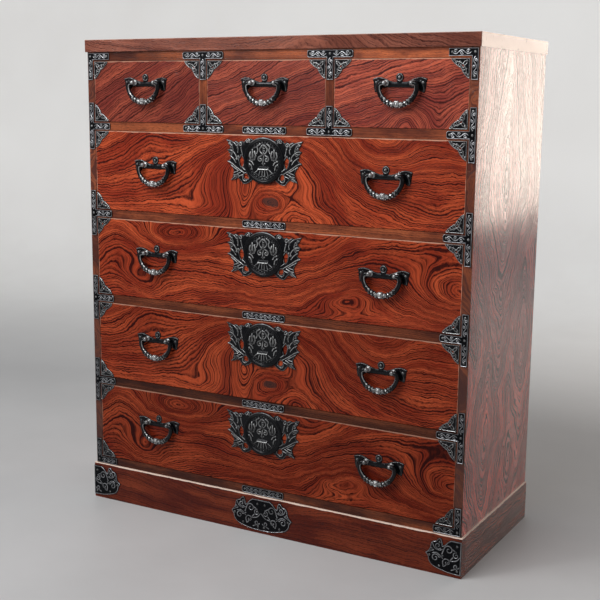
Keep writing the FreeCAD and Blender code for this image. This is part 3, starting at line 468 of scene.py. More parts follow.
# The pale line along the base's top edge is a painted highlight; its colour is divided by each board's tone, so the
# line stays equally pale.
BASE_EDGE_HIGHLIGHT = (0.85, 0.66, 0.55, 1)
BASE_FRONT_TONE, BASE_SIDE_TONE = 0.34, 0.75
BASE_HILLS = [(-120, -30, 200, 60, 0, 60), (260, 40, 160, 60, 0, -60), (-380, 30, 100, 50, 0, -40),
              (60, 40, 90, 40, 0, 40)]
TOP_HILLS = [(-300, 20, 180, 60, 0, 60), (150, -40, 160, 70, 0, -70), (420, 60, 120, 60, 0, 50)]
# The pale line along the top board's edges is a painted highlight.
middle = middle_of("top_board")
wear("top_board", lacquered_board("lacquered_top_board", 0, (middle.x, middle.z), slope=0.12, hills=TOP_HILLS,
                                  ring=6.0, seed=31.0, tone=0.95, light=(0.4, 0.13, 0.08, 1),
                                  deep=(0.2, 0.055, 0.032, 1), line=0.85, coat=0.5, gloss=0.12,
                                  painted_highlight=("top_board", 1.2, (0.5, 0.27, 0.2, 1))))
middle = middle_of("base_front")
wear("base_front", lacquered_board("lacquered_base_front", 0, (middle.x, middle.z), slope=0.05, ring=7.0,
                                   seed=41.0, tone=BASE_FRONT_TONE, line=0.8, waver=4.0, hills=BASE_HILLS,
                                   painted_highlight=("base_front", 2.0, shade(BASE_EDGE_HIGHLIGHT, 1 / BASE_FRONT_TONE)),
                                   side_highlight=False))
for name in ("base_sides", "base_back"):
    wear(name, lacquered_board(f"lacquered_{name}", 1 if name == "base_sides" else 0, (0.0, 0.05), ring=9.0,
                               seed=47.0, tone=BASE_SIDE_TONE, line=1.5, coat=0.15, gloss=0.16,
                               light=(0.6, 0.14, 0.075, 1), deep=(0.24, 0.05, 0.035, 1),
                               painted_highlight=(name, 2.0, shade(BASE_EDGE_HIGHLIGHT, 1 / BASE_SIDE_TONE)), side_highlight=False))
print("frame boards done")

# %% [markdown]
# A side board's front edge shows as the orange-brown post between the drawers and the corner, while its wide
# outer face is a darker plum brown. Both are one board here, so the colour changes with the depth: in front
# of a line just behind the face, the edge's lighter colours are used. The figure of the outer face is a few
# long valleys: a height that rises evenly to both sides of a middle line, and slowly along it both ways. Where
# two valleys meet, the lower one counts, so the lines nest in long arches over and under every middle.

# %% The side boards
# Each valley: its middle along and across the board, its rise per metre up and down, and the height it starts at.
SIDE_VALLEYS = [(0.223, -0.012, 0.28, 0.5, 0.0), (-0.327, -0.083, 0.35, 0.5, 0.147), (-0.147, 0.159, 0.35, 0.5, 0.17),
                (0.353, 0.195, 0.3, 0.5, 0.235), (-0.447, 0.087, 0.35, 0.5, 0.265), (0.65, -0.18, 0.5, 0.5, 0.2),
                (-0.2, -0.24, 0.5, 0.5, 0.2)]
SIDE_RING = 0.0088
SIDE_LIGHT = (0.84, 0.125, 0.085, 1)
SIDE_DEEP = (0.33, 0.047, 0.045, 1)
SIDE_LINE = (0.055, 0.015, 0.013, 1)


def side_board(name, seed):
    """The material of one side board: nested arches outside, the post's colours on the front edge."""
    material, bench, shader = new_material(f"lacquered_{name}")
    low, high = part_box(name)
    middle = (low + high) / 2
    place = bench.here()
    x, y, z = bench.part(place)
    slow = bench.part(bench.noise(place, 11.0, 1.0).outputs["Color"])
    quick = bench.part(bench.noise(place, 45.0, 1.0).outputs["Color"])
    along = bench.math("MULTIPLY_ADD", slow[2], 0.08, bench.math("SUBTRACT", z, middle.z + 0.04))
    across = bench.math("MULTIPLY_ADD", bench.math("SUBTRACT", x, middle.x), 0.5, y)
    across = bench.math("MULTIPLY_ADD", bench.math("SUBTRACT", slow[1], 0.5), 0.035, across)
    across = bench.math("MULTIPLY_ADD", bench.math("SUBTRACT", quick[1], 0.5), 0.014, across)
    height = 1.0
    for at_along, at_across, rise_up, rise_down, start in SIDE_VALLEYS:
        above = bench.math("SUBTRACT", along, at_along)
        away = bench.math("SUBTRACT", across, at_across)
        away = bench.math("SQRT", bench.math("MULTIPLY_ADD", away, away, 0.00012))
        rise = bench.math("SMOOTH_MAX", bench.math("MULTIPLY", above, rise_up),
                          bench.math("MULTIPLY", above, -rise_down), 0.05)
        height = bench.math("SMOOTH_MIN", height, bench.math("ADD", bench.math("ADD", away, rise), start), 0.01)
    grain = bench.place(grain_lines, Height=height, Along=along, Ring=SIDE_RING, Seed=seed)
    at_edge = bench.spread(y, low.y + 0.0012, low.y + 0.0016, 1.0, 0.0)
    # The post's colours are painted darker towards the floor: a painted shade.
    post_shade_share = bench.spread(z, 0.1, 1.1)
    edge_light = bench.blend(post_shade_share, shade(BROWN_LIGHT, 0.22), shade(BROWN_LIGHT, 0.8))
    edge_deep = bench.blend(post_shade_share, shade(BROWN_DEEP, 0.3), shade(BROWN_DEEP, 0.9))
    light = bench.blend(at_edge, SIDE_LIGHT, edge_light)
    deep = bench.blend(at_edge, SIDE_DEEP, edge_deep)
    strength = bench.math("MULTIPLY_ADD", at_edge, -0.3, 1.0)
    lines = bench.spread(grain["Rings"], 0.15, 0.6)
    paint = bench.place(lacquered_grain, Rings=lines, Pores=grain["Pores"], Clouds=grain["Clouds"],
                        Line_Strength=strength, Light=light, Deep=deep, Line=SIDE_LINE, Gloss=0.14)
    bench.fill(shader.inputs["Base Color"], paint["Color"])
    bench.fill(shader.inputs["Roughness"], paint["Roughness"])
    lacquer = bench.math("SUBTRACT", 0.9, bench.math("MULTIPLY", lines, 0.42))
    lacquer = bench.math("MULTIPLY_ADD", grain["Pores"], -0.35, lacquer)
    lacquer = bench.math("MULTIPLY", bench.math("MAXIMUM", lacquer, 0.0), bench.spread(z, 0.1, 0.75, 0.5, 1.0))
    lacquer = bench.math("MULTIPLY", lacquer, bench.spread(y, low.y + 0.004, low.y + 0.06, 0.45, 1.0))
    bench.fill(shader.inputs["Coat Weight"], lacquer)
    bench.bump(shader, grain["Relief"], 0.5, 0.0004)
    shader.inputs["Specular IOR Level"].default_value = 0.3
    shader.inputs["Coat Roughness"].default_value = 0.15
    shader.inputs["Coat IOR"].default_value = 1.38
    return material


for seed, name in ((2.0, "left_side_board"), (7.0, "right_side_board")):
    wear(name, side_board(name, seed))
print("side boards done, with", len(SIDE_VALLEYS), "valleys each")

# %% [markdown]
# Inside, nothing is lacquered. Drawer boxes, dust boards and the back are a light, soft wood that only shows
# when a drawer is open or from behind: pale tan, quiet lines, a dull surface and a few darker stains.


# %% The plain inner boards
def plain_board(name, grain_axis, middle, light, deep, seed):
    material, bench, shader = new_material(name)
    grain = grain_of(bench, grain_axis, middle, slope=0.03, hills=(), ring=7.0, seed=seed, waver=5.0)[0]
    paint = bench.place(lacquered_grain, Rings=grain["Rings"], Pores=grain["Pores"], Clouds=grain["Clouds"],
                        Line_Strength=0.32, Light=light, Deep=deep, Line=(0.22, 0.13, 0.07, 1), Gloss=0.6)
    bench.fill(shader.inputs["Base Color"], paint["Color"])
    bench.fill(shader.inputs["Roughness"], paint["Roughness"])
    bench.bump(shader, grain["Relief"], 0.4, 0.0003)
    return material


BOX_LIGHT = (0.72, 0.52, 0.34, 1)
BOX_DEEP = (0.58, 0.4, 0.25, 1)
BACK_LIGHT = (0.55, 0.4, 0.25, 1)
BACK_DEEP = (0.44, 0.3, 0.18, 1)
box_wood = plain_board("plain_box_wood", 1, (0.0, 0.0), BOX_LIGHT, BOX_DEEP, 5.0)
for name in nodes:
    if name.endswith("_box") or name in ("dust_boards", "bottom_board"):
        wear(name, box_wood)
wear("back_boards", plain_board("plain_back_wood", 2, (0.6, 0.0), BACK_LIGHT, BACK_DEEP, 9.0))
print("inner boards done")

# %% [markdown]
# The irons are thin sheet with engraved and raised ornament. A flat plate with a bump map would lose its
# raised rim from the side, so each plate is real relief: a fine net of points is laid over the outline, its
# border is pulled onto the outline, every point is lifted by a height formula, and a wall closes the edge.

# %% Lines, distances and outlines in the plane of the drawer fronts


def smooth_line(points, steps=8):
    """Points on a smooth curve through the given ones."""
    p = np.array(points, float)
    if len(p) == 2:
        return p
    before = np.vstack([2 * p[0] - p[1], p[:-1]])
    after = np.vstack([p[1:], 2 * p[-1] - p[-2]])
    slope = (after - before) / 2
    t = np.linspace(0, 1, steps, endpoint=False)[:, None]
    runs = []
    for i in range(len(p) - 1):
        runs.append((2 * t**3 - 3 * t**2 + 1) * p[i] + (t**3 - 2 * t**2 + t) * slope[i]
                    + (3 * t**2 - 2 * t**3) * p[i + 1] + (t**3 - t**2) * slope[i + 1])
    return np.vstack(runs + [p[-1:]])


def nearest(line, x, z):
    """Each point's distance to a line of points, and how far along it the nearest place is, from 0 to 1."""
    best = np.full(x.shape, np.inf)
    along = np.zeros(x.shape)
    count = len(line) - 1
    for i in range(count):
        run = line[i + 1] - line[i]
        t = np.clip(((x - line[i][0]) * run[0] + (z - line[i][1]) * run[1]) / max(run @ run, 1e-9), 0, 1)
        gap = np.hypot(x - line[i][0] - t * run[0], z - line[i][1] - t * run[1])
        closer = gap < best
        best[closer] = gap[closer]
        along[closer] = (i + t[closer]) / count
    return best, along


def depth_in(loop, x, z):
    """How deep each point lies inside a closed outline; less than zero outside."""
    inside = np.zeros(x.shape, bool)
    for a, b in zip(loop, np.roll(loop, -1, axis=0)):
        if a[1] != b[1]:
            crosses = (a[1] > z) != (b[1] > z)
            inside ^= crosses & (x < (b[0] - a[0]) * (z - a[1]) / (b[1] - a[1]) + a[0])
    gap = nearest(np.vstack([loop, loop[:1]]), x, z)[0]
    return np.where(inside, gap, -gap)


def loop_of(stretches, across, up, both_sides=False):
    """An outline from stretches of shares; with both_sides the half outline is repeated to the left."""
    runs = [smooth_line([(px * across, pz * up) for px, pz in stretch])[:-1] for stretch in stretches]
    loop = np.vstack(runs)
    if both_sides:
        end = np.array(stretches[-1][-1]) * (across, up)
        right = np.vstack([loop, [end]])
        left = right[::-1] * (-1, 1)
        loop = np.vstack([right, left[1:-1]])
    return loop


def block(x, z, low_x, low_z, high_x, high_z, round_by=0.0):
    """Depth inside a rectangle with round corners."""
    middle_x, middle_z = (low_x + high_x) / 2, (low_z + high_z) / 2
    gap_x = np.abs(x - middle_x) - (high_x - low_x) / 2 + round_by
    gap_z = np.abs(z - middle_z) - (high_z - low_z) / 2 + round_by
    outside = np.hypot(np.maximum(gap_x, 0), np.maximum(gap_z, 0))
    return round_by - outside - np.minimum(np.maximum(gap_x, gap_z), 0)


print("drawing tools ready")

# %% [markdown]
# Ornament is a sum of a few raised forms: a rib along a line, a bead that follows the outline, a dome, and a
# curl. Each is a height over the plane, and where two of them meet, the higher one counts.


# %% Heights: ribs, rims, domes and scrolls
def rib(x, z, points, wide, high, end_wide):
    """A raised round rib along a smooth line, from one width to the other."""
    gap, along = nearest(smooth_line(points), x, z)
    width = wide + (end_wide - wide) * along
    return high * np.sqrt(np.clip(1 - (gap / width) ** 2, 0, 1))


def rim(depth, at, wide, high):
    """A raised bead that follows the plate's outline."""
    return high * np.exp(-((depth - at) / wide) ** 2)


def dome(x, z, middle, radius, high, petals, swell):
    """A raised dome whose edge swells into petals."""
    angle = np.arctan2(z - middle[1], x - middle[0])
    reach = radius * (1 + swell * np.cos(petals * angle))
    gap = np.hypot(x - middle[0], z - middle[1]) / reach
    return high * np.sqrt(np.clip(1 - gap**2, 0, 1))


def scroll(middle, radius, start, turns, tail=None):
    """Points of a curl that winds inwards, with the tail it grows from."""
    shares = np.linspace(0, 1, 15)
    points = [(middle[0] + radius * (1 - 0.8 * share) * math.cos(start + turns * math.tau * share),
               middle[1] + radius * (1 - 0.8 * share) * math.sin(start + turns * math.tau * share))
              for share in shares]
    return ([tail] if tail else []) + points


def engrave(x, z, lines, wide, high, end_wide):
    """The highest of many ribs."""
    lifted = np.zeros(x.shape)
    for points in lines:
        lifted = np.maximum(lifted, rib(x, z, points, wide, high, end_wide))
    return lifted


print("relief tools ready")

# %% [markdown]
# The net of points is square, so its border would be a staircase. Each border point is therefore moved along
# the steepest way of the depth until it lies on the outline, which gives clean curved edges and sharp tips.


# %% From an outline and a height to a plate
def softened(heights, times):
    """Heights blurred over their neighbours, to find what stands proud."""
    for _ in range(times):
        padded = np.pad(heights, 1, mode="edge")
        heights = (padded[:-2, 1:-1] + padded[2:, 1:-1] + padded[1:-1, :-2] + padded[1:-1, 2:] + 2 * heights) / 6
    return heights


def relief_plate(depth_at, box, step, height_at, proud, kept_dark=None):
    """A plate: points in millimetres, faces, and how pale each point is, as bare metal and as a painted highlight.
    Its back lies at y = 0. proud is how far a ridge stands over its neighbours to turn fully pale, and the mask
    argument tells how far a place is kept dark; on the pierced plate it leaves a painted highlight along the ring's
    top."""
    across = np.arange(box[0] - step, box[2] + 2 * step, step)
    up = np.arange(box[1] - step, box[3] + 2 * step, step)
    x, z = np.meshgrid(across, up, indexing="ij")
    depth = depth_at(x, z)
    near = depth > -step / 2
    cells = near[:-1, :-1] & near[1:, :-1] & near[1:, 1:] & near[:-1, 1:]
    touching = np.zeros(x.shape, int)
    for cut_i in (slice(None, -1), slice(1, None)):
        for cut_j in (slice(None, -1), slice(1, None)):
            touching[cut_i, cut_j] += cells
    used = touching > 0
    border = used & (touching < 4)
    bx, bz = x[border], z[border]
    nudge = step / 20
    for _ in range(2):
        gap = depth_at(bx, bz)
        slope_x = (depth_at(bx + nudge, bz) - gap) / nudge
        slope_z = (depth_at(bx, bz + nudge) - gap) / nudge
        size = np.maximum(slope_x**2 + slope_z**2, 0.25)
        bx = bx - np.clip(gap * slope_x / size, -step, step)
        bz = bz - np.clip(gap * slope_z / size, -step, step)
    x[border], z[border] = bx, bz
    depth = np.where(border, 0, np.maximum(depth, 0))
    height = height_at(x, z, depth)
    ground = np.where(used, height, np.median(height[used]) - 0.6)
    # Ridges that stand proud are made pale: bare metal, and a painted highlight as well.
    worn = np.clip((height - softened(ground, 5)) / proud, 0, 1)
    if kept_dark:
        worn = worn * (1 - kept_dark(x, z))
    number = np.full(x.shape, -1)
    number[used] = np.arange(used.sum())
    points = np.column_stack([x[used], -height[used], z[used]])
    i, j = np.nonzero(cells)
    faces = np.column_stack([number[i, j], number[i + 1, j], number[i + 1, j + 1], number[i, j + 1]])
    return with_walls(points, faces, worn[used])


def with_walls(points, faces, worn):
    """Adds the wall from the plate's border back to y = 0."""
    edges = np.vstack([faces[:, [k, (k + 1) % 4]] for k in range(4)])
    keys = edges.min(1) * len(points) + edges.max(1)
    _, first, times = np.unique(keys, return_index=True, return_counts=True)
    open_edges = edges[first[times == 1]]
    rim_points = np.unique(open_edges)
    foot = np.full(len(points), -1)
    foot[rim_points] = len(points) + np.arange(len(rim_points))
    feet = points[rim_points] * (1, 0, 1)
    walls = np.column_stack([open_edges[:, 1], open_edges[:, 0], foot[open_edges[:, 0]], foot[open_edges[:, 1]]])
    return np.vstack([points, feet]), np.vstack([faces, walls]), np.concatenate([worn, np.zeros(len(feet))])


def turned(profile, sides, petals=0, swell=0.0, worn=0.35):
    """A turned shape about the Y axis, from pairs of radius and height above the plate, outside first."""
    angles = np.arange(sides) * math.tau / sides
    reach = 1 + swell * np.cos(petals * angles)
    rings = [np.column_stack([radius * reach * np.cos(angles), np.full(sides, -forward),
                              radius * reach * np.sin(angles)])
             for radius, forward in profile]
    points = np.vstack(rings)
    faces = []
    for ring in range(len(profile) - 1):
        for side in range(sides):
            a, b = ring * sides + side, ring * sides + (side + 1) % sides
            faces.append((a, b, b + sides, a + sides))
    return points, np.array(faces), np.full(len(points), worn)


print("plate maker ready")

# %% [markdown]
# The same small plate appears many times, mirrored left to right and top to bottom. A tray gathers such
# copies into one mesh per piece of the chest, turns the faces round again where a copy is mirrored, and then
# sets the finished piece on its drawer in place of the plain one.


# %% A tray that gathers ironwork
SHARP_FROM = math.radians(50)


class Tray:
    """Gathers shapes, given in millimetres, into one mesh in metres."""

    def __init__(self):
        self.points, self.faces, self.worn, self.count = [], [], [], 0

    def add(self, shape, at=(0, 0, 0), left=False, under=False):
        points, faces, worn = shape
        points = points * (-1 if left else 1, 1, -1 if under else 1)
        if left != under:
            faces = faces[:, ::-1]
        self.points.append(points * MM + np.array(at))
        self.faces.append(faces + self.count)
        self.worn.append(worn)
        self.count += len(points)

    def finish(self, name, material, body, *replaced):
        mesh = bpy.data.meshes.new(name)
        mesh.from_pydata(np.vstack(self.points).tolist(), [], np.vstack(self.faces).tolist())
        rubbing_and_glint = mesh.attributes.new("worn", "FLOAT", "POINT")
        rubbing_and_glint.data.foreach_set("value", np.concatenate(self.worn).astype(np.float32))
        mesh.shade_smooth()
        mesh.set_sharp_from_angle(angle=SHARP_FROM)
        mesh.materials.append(material)
        piece = bpy.data.objects.new(name, mesh)
        bpy.context.scene.collection.objects.link(piece)
        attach(piece, body)
        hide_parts(*replaced)
        print(name, "has", len(mesh.polygons), "faces")


print("tray ready")

# %% [markdown]
# Old chest iron is blackened and lacquered, but hands and cloths have rubbed what stands proud back to grey metal.
# Each plate already carries a number at every point that says how far it stands above its neighbours. The material
# turns ridges and rims pale and smooth with it, and leaves the punched ground black and dull. That pale is brighter
# than bare iron, so it is a painted highlight for the glints on the ridges as well as wear.

# %% Blackened iron
iron_wear_and_glints, bench, given, result = new_group(
    "iron_wear_and_glints",
    [("Worn", "Float", 0.0), ("Black", "Color", (0.02, 0.021, 0.023, 1)), ("Rubbed", "Color", (0.3, 0.3, 0.31, 1)),
     ("Ground", "Float", 0.15), ("Dull", "Float", 0.5), ("Shiny", "Float", 0.28)],
    [("Color", "Color"), ("Roughness", "Float"), ("Relief", "Float")])
place = bench.here()
punches = bench.noise(place, 520.0, 2.0, 0.6).outputs["Fac"]
patches = bench.noise(place, 70.0, 3.0, 0.6).outputs["Fac"]
rubbing_and_glint = bench.math("MULTIPLY", given["Worn"], bench.spread(patches, 0.3, 0.6, 0.55, 1.15))
speckled = bench.math("MULTIPLY", bench.spread(punches, 0.44, 0.62), given["Ground"])
share = bench.math("MINIMUM", bench.math("MAXIMUM", rubbing_and_glint, speckled), 1.0)
height = bench.part(place)[2]
# Irons are painted darker the lower they stand: a painted shade for light that falls off towards the floor.
shade_by_height = bench.spread(height, 0.1, 1.0, 0.5, 1.0)
bare_and_glint = bench.math("POWER", share, 1.5)
bench.fill(result["Color"], bench.blend(bare_and_glint, given["Black"], bench.blend(shade_by_height, given["Black"], given["Rubbed"])))
bench.fill(result["Roughness"], bench.spread(share, 0.0, 1.0, given["Dull"], given["Shiny"]))
bench.fill(result["Relief"], punches)
print("group made:", iron_wear_and_glints.name)


def iron(name, black=(0.004, 0.0045, 0.006, 1), painted_highlight=(0.8, 0.81, 0.85, 1), ground=0.05, dull=0.34, shiny=0.24,
         grain=0.4, metallic=0.7, coat=0.0):
    """Blackened iron; ground says how far the punched ground turns pale, dull and shiny are its roughnesses where it
    is black and where it is pale, and grain is the strength of the punches. The pale colour is bare metal and a
    painted highlight as well."""
    material, bench, shader = new_material(name)
    worn = bench.tree.nodes.new("ShaderNodeAttribute")
    worn.attribute_name = "worn"
    skin = bench.place(iron_wear_and_glints, Worn=worn.outputs["Fac"], Black=black, Rubbed=painted_highlight, Ground=ground,
                       Dull=dull, Shiny=shiny)
    bench.fill(shader.inputs["Base Color"], skin["Color"])
    bench.fill(shader.inputs["Roughness"], skin["Roughness"])
    shader.inputs["Metallic"].default_value = metallic
    shader.inputs["Specular IOR Level"].default_value = 0.1
    shader.inputs["Coat Weight"].default_value = coat
    shader.inputs["Coat Roughness"].default_value = 0.14
    bench.bump(shader, skin["Relief"], grain, 0.0004)
    return material


FACE_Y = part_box("small_drawer_left_front")[0].y
BASE_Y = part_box("base_front")[0].y
strap_iron = iron("strap_iron")
base_iron = iron("base_iron", ground=0.08)
lock_iron = iron("lock_iron", painted_highlight=(1.0, 1.0, 1.0, 1), ground=0.01, dull=0.26, shiny=0.18, grain=0.15,
                 metallic=0.4, coat=0.2)
print("drawer fronts stand at y =", round(FACE_Y, 5))

# %% [markdown]
# Every iron is held by dome-headed nails. They are turned shapes: a flat flange and a low dome.

# %% Dome nails
STRAP_SEAT, CORNER_SEAT, WING_SEAT, CROWN_SEAT, LOCK_SEAT = 2.0, 1.6, 2.6, 3.9, 2.4
NAIL = turned([(3.0, 0.0), (3.05, 0.35), (2.8, 0.95), (2.2, 1.5), (1.3, 1.88), (0.45, 2.05), (0.02, 2.08)], 14)


def nails_on(tray, points, seat, at, left=False, under=False):
    """Nails at points of a plate whose front lies seat millimetres before the wood."""
    for x, z in points:
        tray.add((NAIL[0] + (x, -seat, z), NAIL[1], NAIL[2]), at, left, under)


print("nail has", len(NAIL[1]), "faces")

# %% [markdown]
# Each drawer corner carries a three-sided plate with two scallops on its long edge, a slot, a raised rim and
# a pair of curling leaves. One is modelled for the lower left corner; the others are its mirror images.

# %% Corner plates of the drawers
CORNER_LEG = 42.0
CORNER_INSET = 0.5
CORNER_SHARES = [
    [(0, 0), (1, 0)],
    [(1, 0), (0.97, 0.1), (0.83, 0.255), (0.64, 0.4), (0.53, 0.46), (0.475, 0.475)],
    [(0.475, 0.475), (0.46, 0.53), (0.4, 0.64), (0.255, 0.83), (0.1, 0.97), (0, 1)],
    [(0, 1), (0, 0)],
]
CORNER_NAILS = [(6, 6), (34.5, 3.2), (3.2, 34.5)]
corner_loop = loop_of(CORNER_SHARES, CORNER_LEG, CORNER_LEG)
corner_slot = np.array([(0.29, 0.44), (0.33, 0.33), (0.44, 0.29), (0.41, 0.37), (0.37, 0.41)]) * CORNER_LEG


def corner_depth(x, z):
    return np.minimum(depth_in(corner_loop, x, z), -depth_in(corner_slot, x, z))


def corner_height(x, z, depth):
    leaves = [scroll((13, 20), 5.5, 0.4, 1.1, (6, 10)), scroll((20, 13), 5.5, 1.2, -1.1, (10, 6)),
              scroll((9, 30), 3.2, 4.4, -0.9, (7, 22)), scroll((30, 9), 3.2, 3.4, 0.9, (22, 7))]
    ground = 1.15 + 0.5 * np.clip(depth / 0.8, 0, 1)
    lifted = engrave(x, z, leaves, 1.05, 0.9, 0.6)
    return ground + np.maximum(rim(depth, 0.9, 0.7, 1.0), lifted)


corner_plate = relief_plate(corner_depth, (0, 0, CORNER_LEG, CORNER_LEG), 0.9, corner_height, 0.8)
print("corner plate faces:", len(corner_plate[1]))

# %% [markdown]
# A handle hangs from a plate shaped like spread wings with a small round crown. The plate is smooth and dark,
# slightly pillowed, and its thick upper edge catches the light from above.

# %% The wing plates
WING_HALF = 65.0
WING_SHARES = [
    [(0, 0.05), (0.21, 0.035)],
    [(0.21, 0.035), (0.38, 0.09), (0.55, 0.16), (0.72, 0.2), (0.86, 0.185), (1, 0.14)],
    [(1, 0.14), (0.96, 0.05), (0.95, -0.06), (0.93, -0.19), (0.9, -0.31)],
    [(0.9, -0.31), (0.8, -0.29), (0.7, -0.24), (0.62, -0.15)],
    [(0.62, -0.15), (0.4, -0.14), (0, -0.14)],
]
wing_loop = loop_of(WING_SHARES, WING_HALF, WING_HALF, both_sides=True)
CROWN = (0.0, 12.5)
CROWN_RADIUS = 9.0
NECK_HALF = 6.5
WING_NAILS = [(-55, 1.5), (55, 1.5)]


def wing_depth(x, z):
    crown = CROWN_RADIUS - np.hypot(x - CROWN[0], z - CROWN[1])
    neck = block(x, z, -NECK_HALF, -2, NECK_HALF, CROWN[1])
    return np.maximum(np.maximum(depth_in(wing_loop, x, z), neck), crown)


def wing_height(x, z, depth):
    body = 1.2 + 1.9 * (1 - np.exp(-depth / 2.2))
    from_crown = np.hypot(x, z - CROWN[1])
    crown = 0.9 * np.exp(-((from_crown - 7.4) / 1.1) ** 2) - 0.9 * np.exp(-((from_crown - 4.6) / 1.3) ** 2)
    fins = rib(np.abs(x), z, [(50, 4), (56, -6), (58, -16)], 2.4, 0.7, 1.0)
    upper = np.clip((z - 0.12 * np.abs(x)) / 1.5, 0, 1) * np.clip((np.abs(x) - 9) / 3, 0, 1)
    return body + crown + fins + 1.7 * upper * np.exp(-((depth - 1.3) / 0.9) ** 2)


wing_plate = relief_plate(wing_depth, (-WING_HALF, -21, WING_HALF, 25), 0.9, wing_height, 1.5)
print("wing plate faces:", len(wing_plate[1]))

# %% [markdown]
# Two posts pass through the drawer front. Outside, each ends in a round knob with an eye for the handle, on a
# small collar; inside the drawer, a six-sided nut holds it.

# %% The handle posts
EYE_X = 32.0
# The knobs are made half pale all over: a painted highlight for their glints.
POST = turned([(6.6, 2.4), (6.8, 3.0), (6.2, 3.9), (4.6, 4.6), (3.3, 5.6), (3.0, 6.8), (3.6, 7.9), (4.7, 9.0),
               (5.35, 10.6), (5.5, 12.2), (5.2, 13.9), (4.3, 15.6), (2.9, 16.9), (1.4, 17.45), (0.02, 17.55)],
              18, worn=0.5)
SHANK = turned([(0.02, -27.0), (2.0, -27.0), (2.5, -26.5), (2.5, 3.0)], 12)
NUT = turned([(2.6, -25.0), (5.2, -25.0), (6.0, -24.2), (6.0, -20.0)], 6)


def set_handle(tray, at):
    """The wing plate, two posts with nuts, and the nails of one handle."""
    tray.add(wing_plate, at)
    nails_on(tray, WING_NAILS, WING_SEAT, at)
    nails_on(tray, [CROWN], CROWN_SEAT, at)
    for side in (-1, 1):
        post_at = (at[0] + side * EYE_X * MM, at[1], at[2])
        for shape in (POST, SHANK, NUT):
            tray.add(shape, post_at)


print("post faces:", len(POST[1]))

# %% [markdown]
# The fittings of one drawer are gathered on one tray: four corner plates, and a handle for every bail. The
# places come from the drawer's front board and from the bail's own pivot.

# %% Fittings of every drawer
PIVOTS = {joint["child"]: joint["pos_m"] for joint in frame["joints"] if joint["type"] == "hinge"}


def corners_of(tray, front):
    low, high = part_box(front)
    inset = CORNER_INSET * MM
    for left, x in ((False, low.x + inset), (True, high.x - inset)):
        for under, z in ((False, low.z + inset), (True, high.z - inset)):
            tray.add(corner_plate, (x, FACE_Y, z), left, under)
            nails_on(tray, CORNER_NAILS, CORNER_SEAT, (x, FACE_Y, z), left, under)


handle_iron = iron("handle_iron", painted_highlight=(1.0, 1.0, 1.0, 1), ground=0.02, dull=0.25, shiny=0.2, grain=0.1,
                   metallic=0.6, coat=0.2)
DRAWERS = [f"small_drawer_{column}" for column in SMALL_FIGURES] + [f"large_drawer_{row}" for row in (1, 2, 3, 4)]
fittings = {}
for drawer in DRAWERS:
    tray = Tray()
    corners_of(tray, f"{drawer}_front")
    for bail, pivot in PIVOTS.items():
        if bail.startswith(drawer):
            set_handle(tray, (pivot[0], FACE_Y, pivot[2]))
    fittings[drawer] = tray
print("bails found:", len(PIVOTS))

# %% [markdown]
# The pierced plate in the middle of each wide drawer is the chest's showpiece: a round medallion with a thick
# smooth ring, a beaded inner ring, two tulips and a curled stem over a bright ledge, between two leafy wings
# with pointed tips and small windows through which the wood shows.

# %% The outline of the pierced plate
LOCK_HALF = 104.0
MEDALLION = 54.0
LEAF_SHARES = [
    [(0.25, 0.4), (0.31, 0.465), (0.4, 0.485), (0.47, 0.455), (0.53, 0.4)],
    [(0.53, 0.4), (0.6, 0.42), (0.66, 0.385)],
    [(0.66, 0.385), (0.74, 0.42), (0.8, 0.4), (0.88, 0.425), (1, 0.452)],
    [(1, 0.452), (0.955, 0.38), (0.935, 0.33)],
    [(0.935, 0.33), (0.9, 0.29), (0.92, 0.24), (0.98, 0.212)],
    [(0.98, 0.212), (0.915, 0.14), (0.905, 0.09)],
    [(0.905, 0.09), (0.885, 0.04), (0.91, 0), (0.98, -0.048)],
    [(0.98, -0.048), (0.9, -0.1), (0.86, -0.16)],
    [(0.86, -0.16), (0.83, -0.2), (0.8, -0.27), (0.82, -0.37), (0.875, -0.47)],
    [(0.875, -0.47), (0.78, -0.45), (0.68, -0.42), (0.62, -0.46)],
    [(0.62, -0.46), (0.56, -0.53), (0.48, -0.54), (0.38, -0.5), (0.25, -0.4)],
    [(0.25, -0.4), (0.25, 0.4)],
]
leaf_loop = loop_of(LEAF_SHARES, LOCK_HALF, LOCK_HALF)
WINDOWS = [smooth_line(np.array(points) * LOCK_HALF, 4) for points in (
    [(0.6, 0.1), (0.545, 0.02), (0.535, -0.06), (0.575, -0.16), (0.63, -0.09), (0.64, 0.01), (0.6, 0.1)],
    [(0.4, -0.41), (0.42, -0.34), (0.48, -0.3), (0.53, -0.34), (0.51, -0.41), (0.45, -0.43), (0.4, -0.41)])]
LOCK_NAILS = [(93.6, 38.5), (74.9, 2.1), (79.0, -39.5)]
LEDGE_HIGH = 4.8


def lock_depth(x, z):
    """Depth inside the round medallion or the wings, less the windows."""
    side = np.abs(x)
    leaf = depth_in(leaf_loop, side, z)
    for window in WINDOWS:
        leaf = np.minimum(leaf, -depth_in(window, side, z))
    return np.maximum(MEDALLION - np.hypot(x, z), leaf)


print("outline points:", len(leaf_loop))


# %% [markdown]
# The wings are filled with long leaves and curls that end in the tips. The medallion is raised higher, inside a
# thick ring, so that its flowers stand out against a black ground.

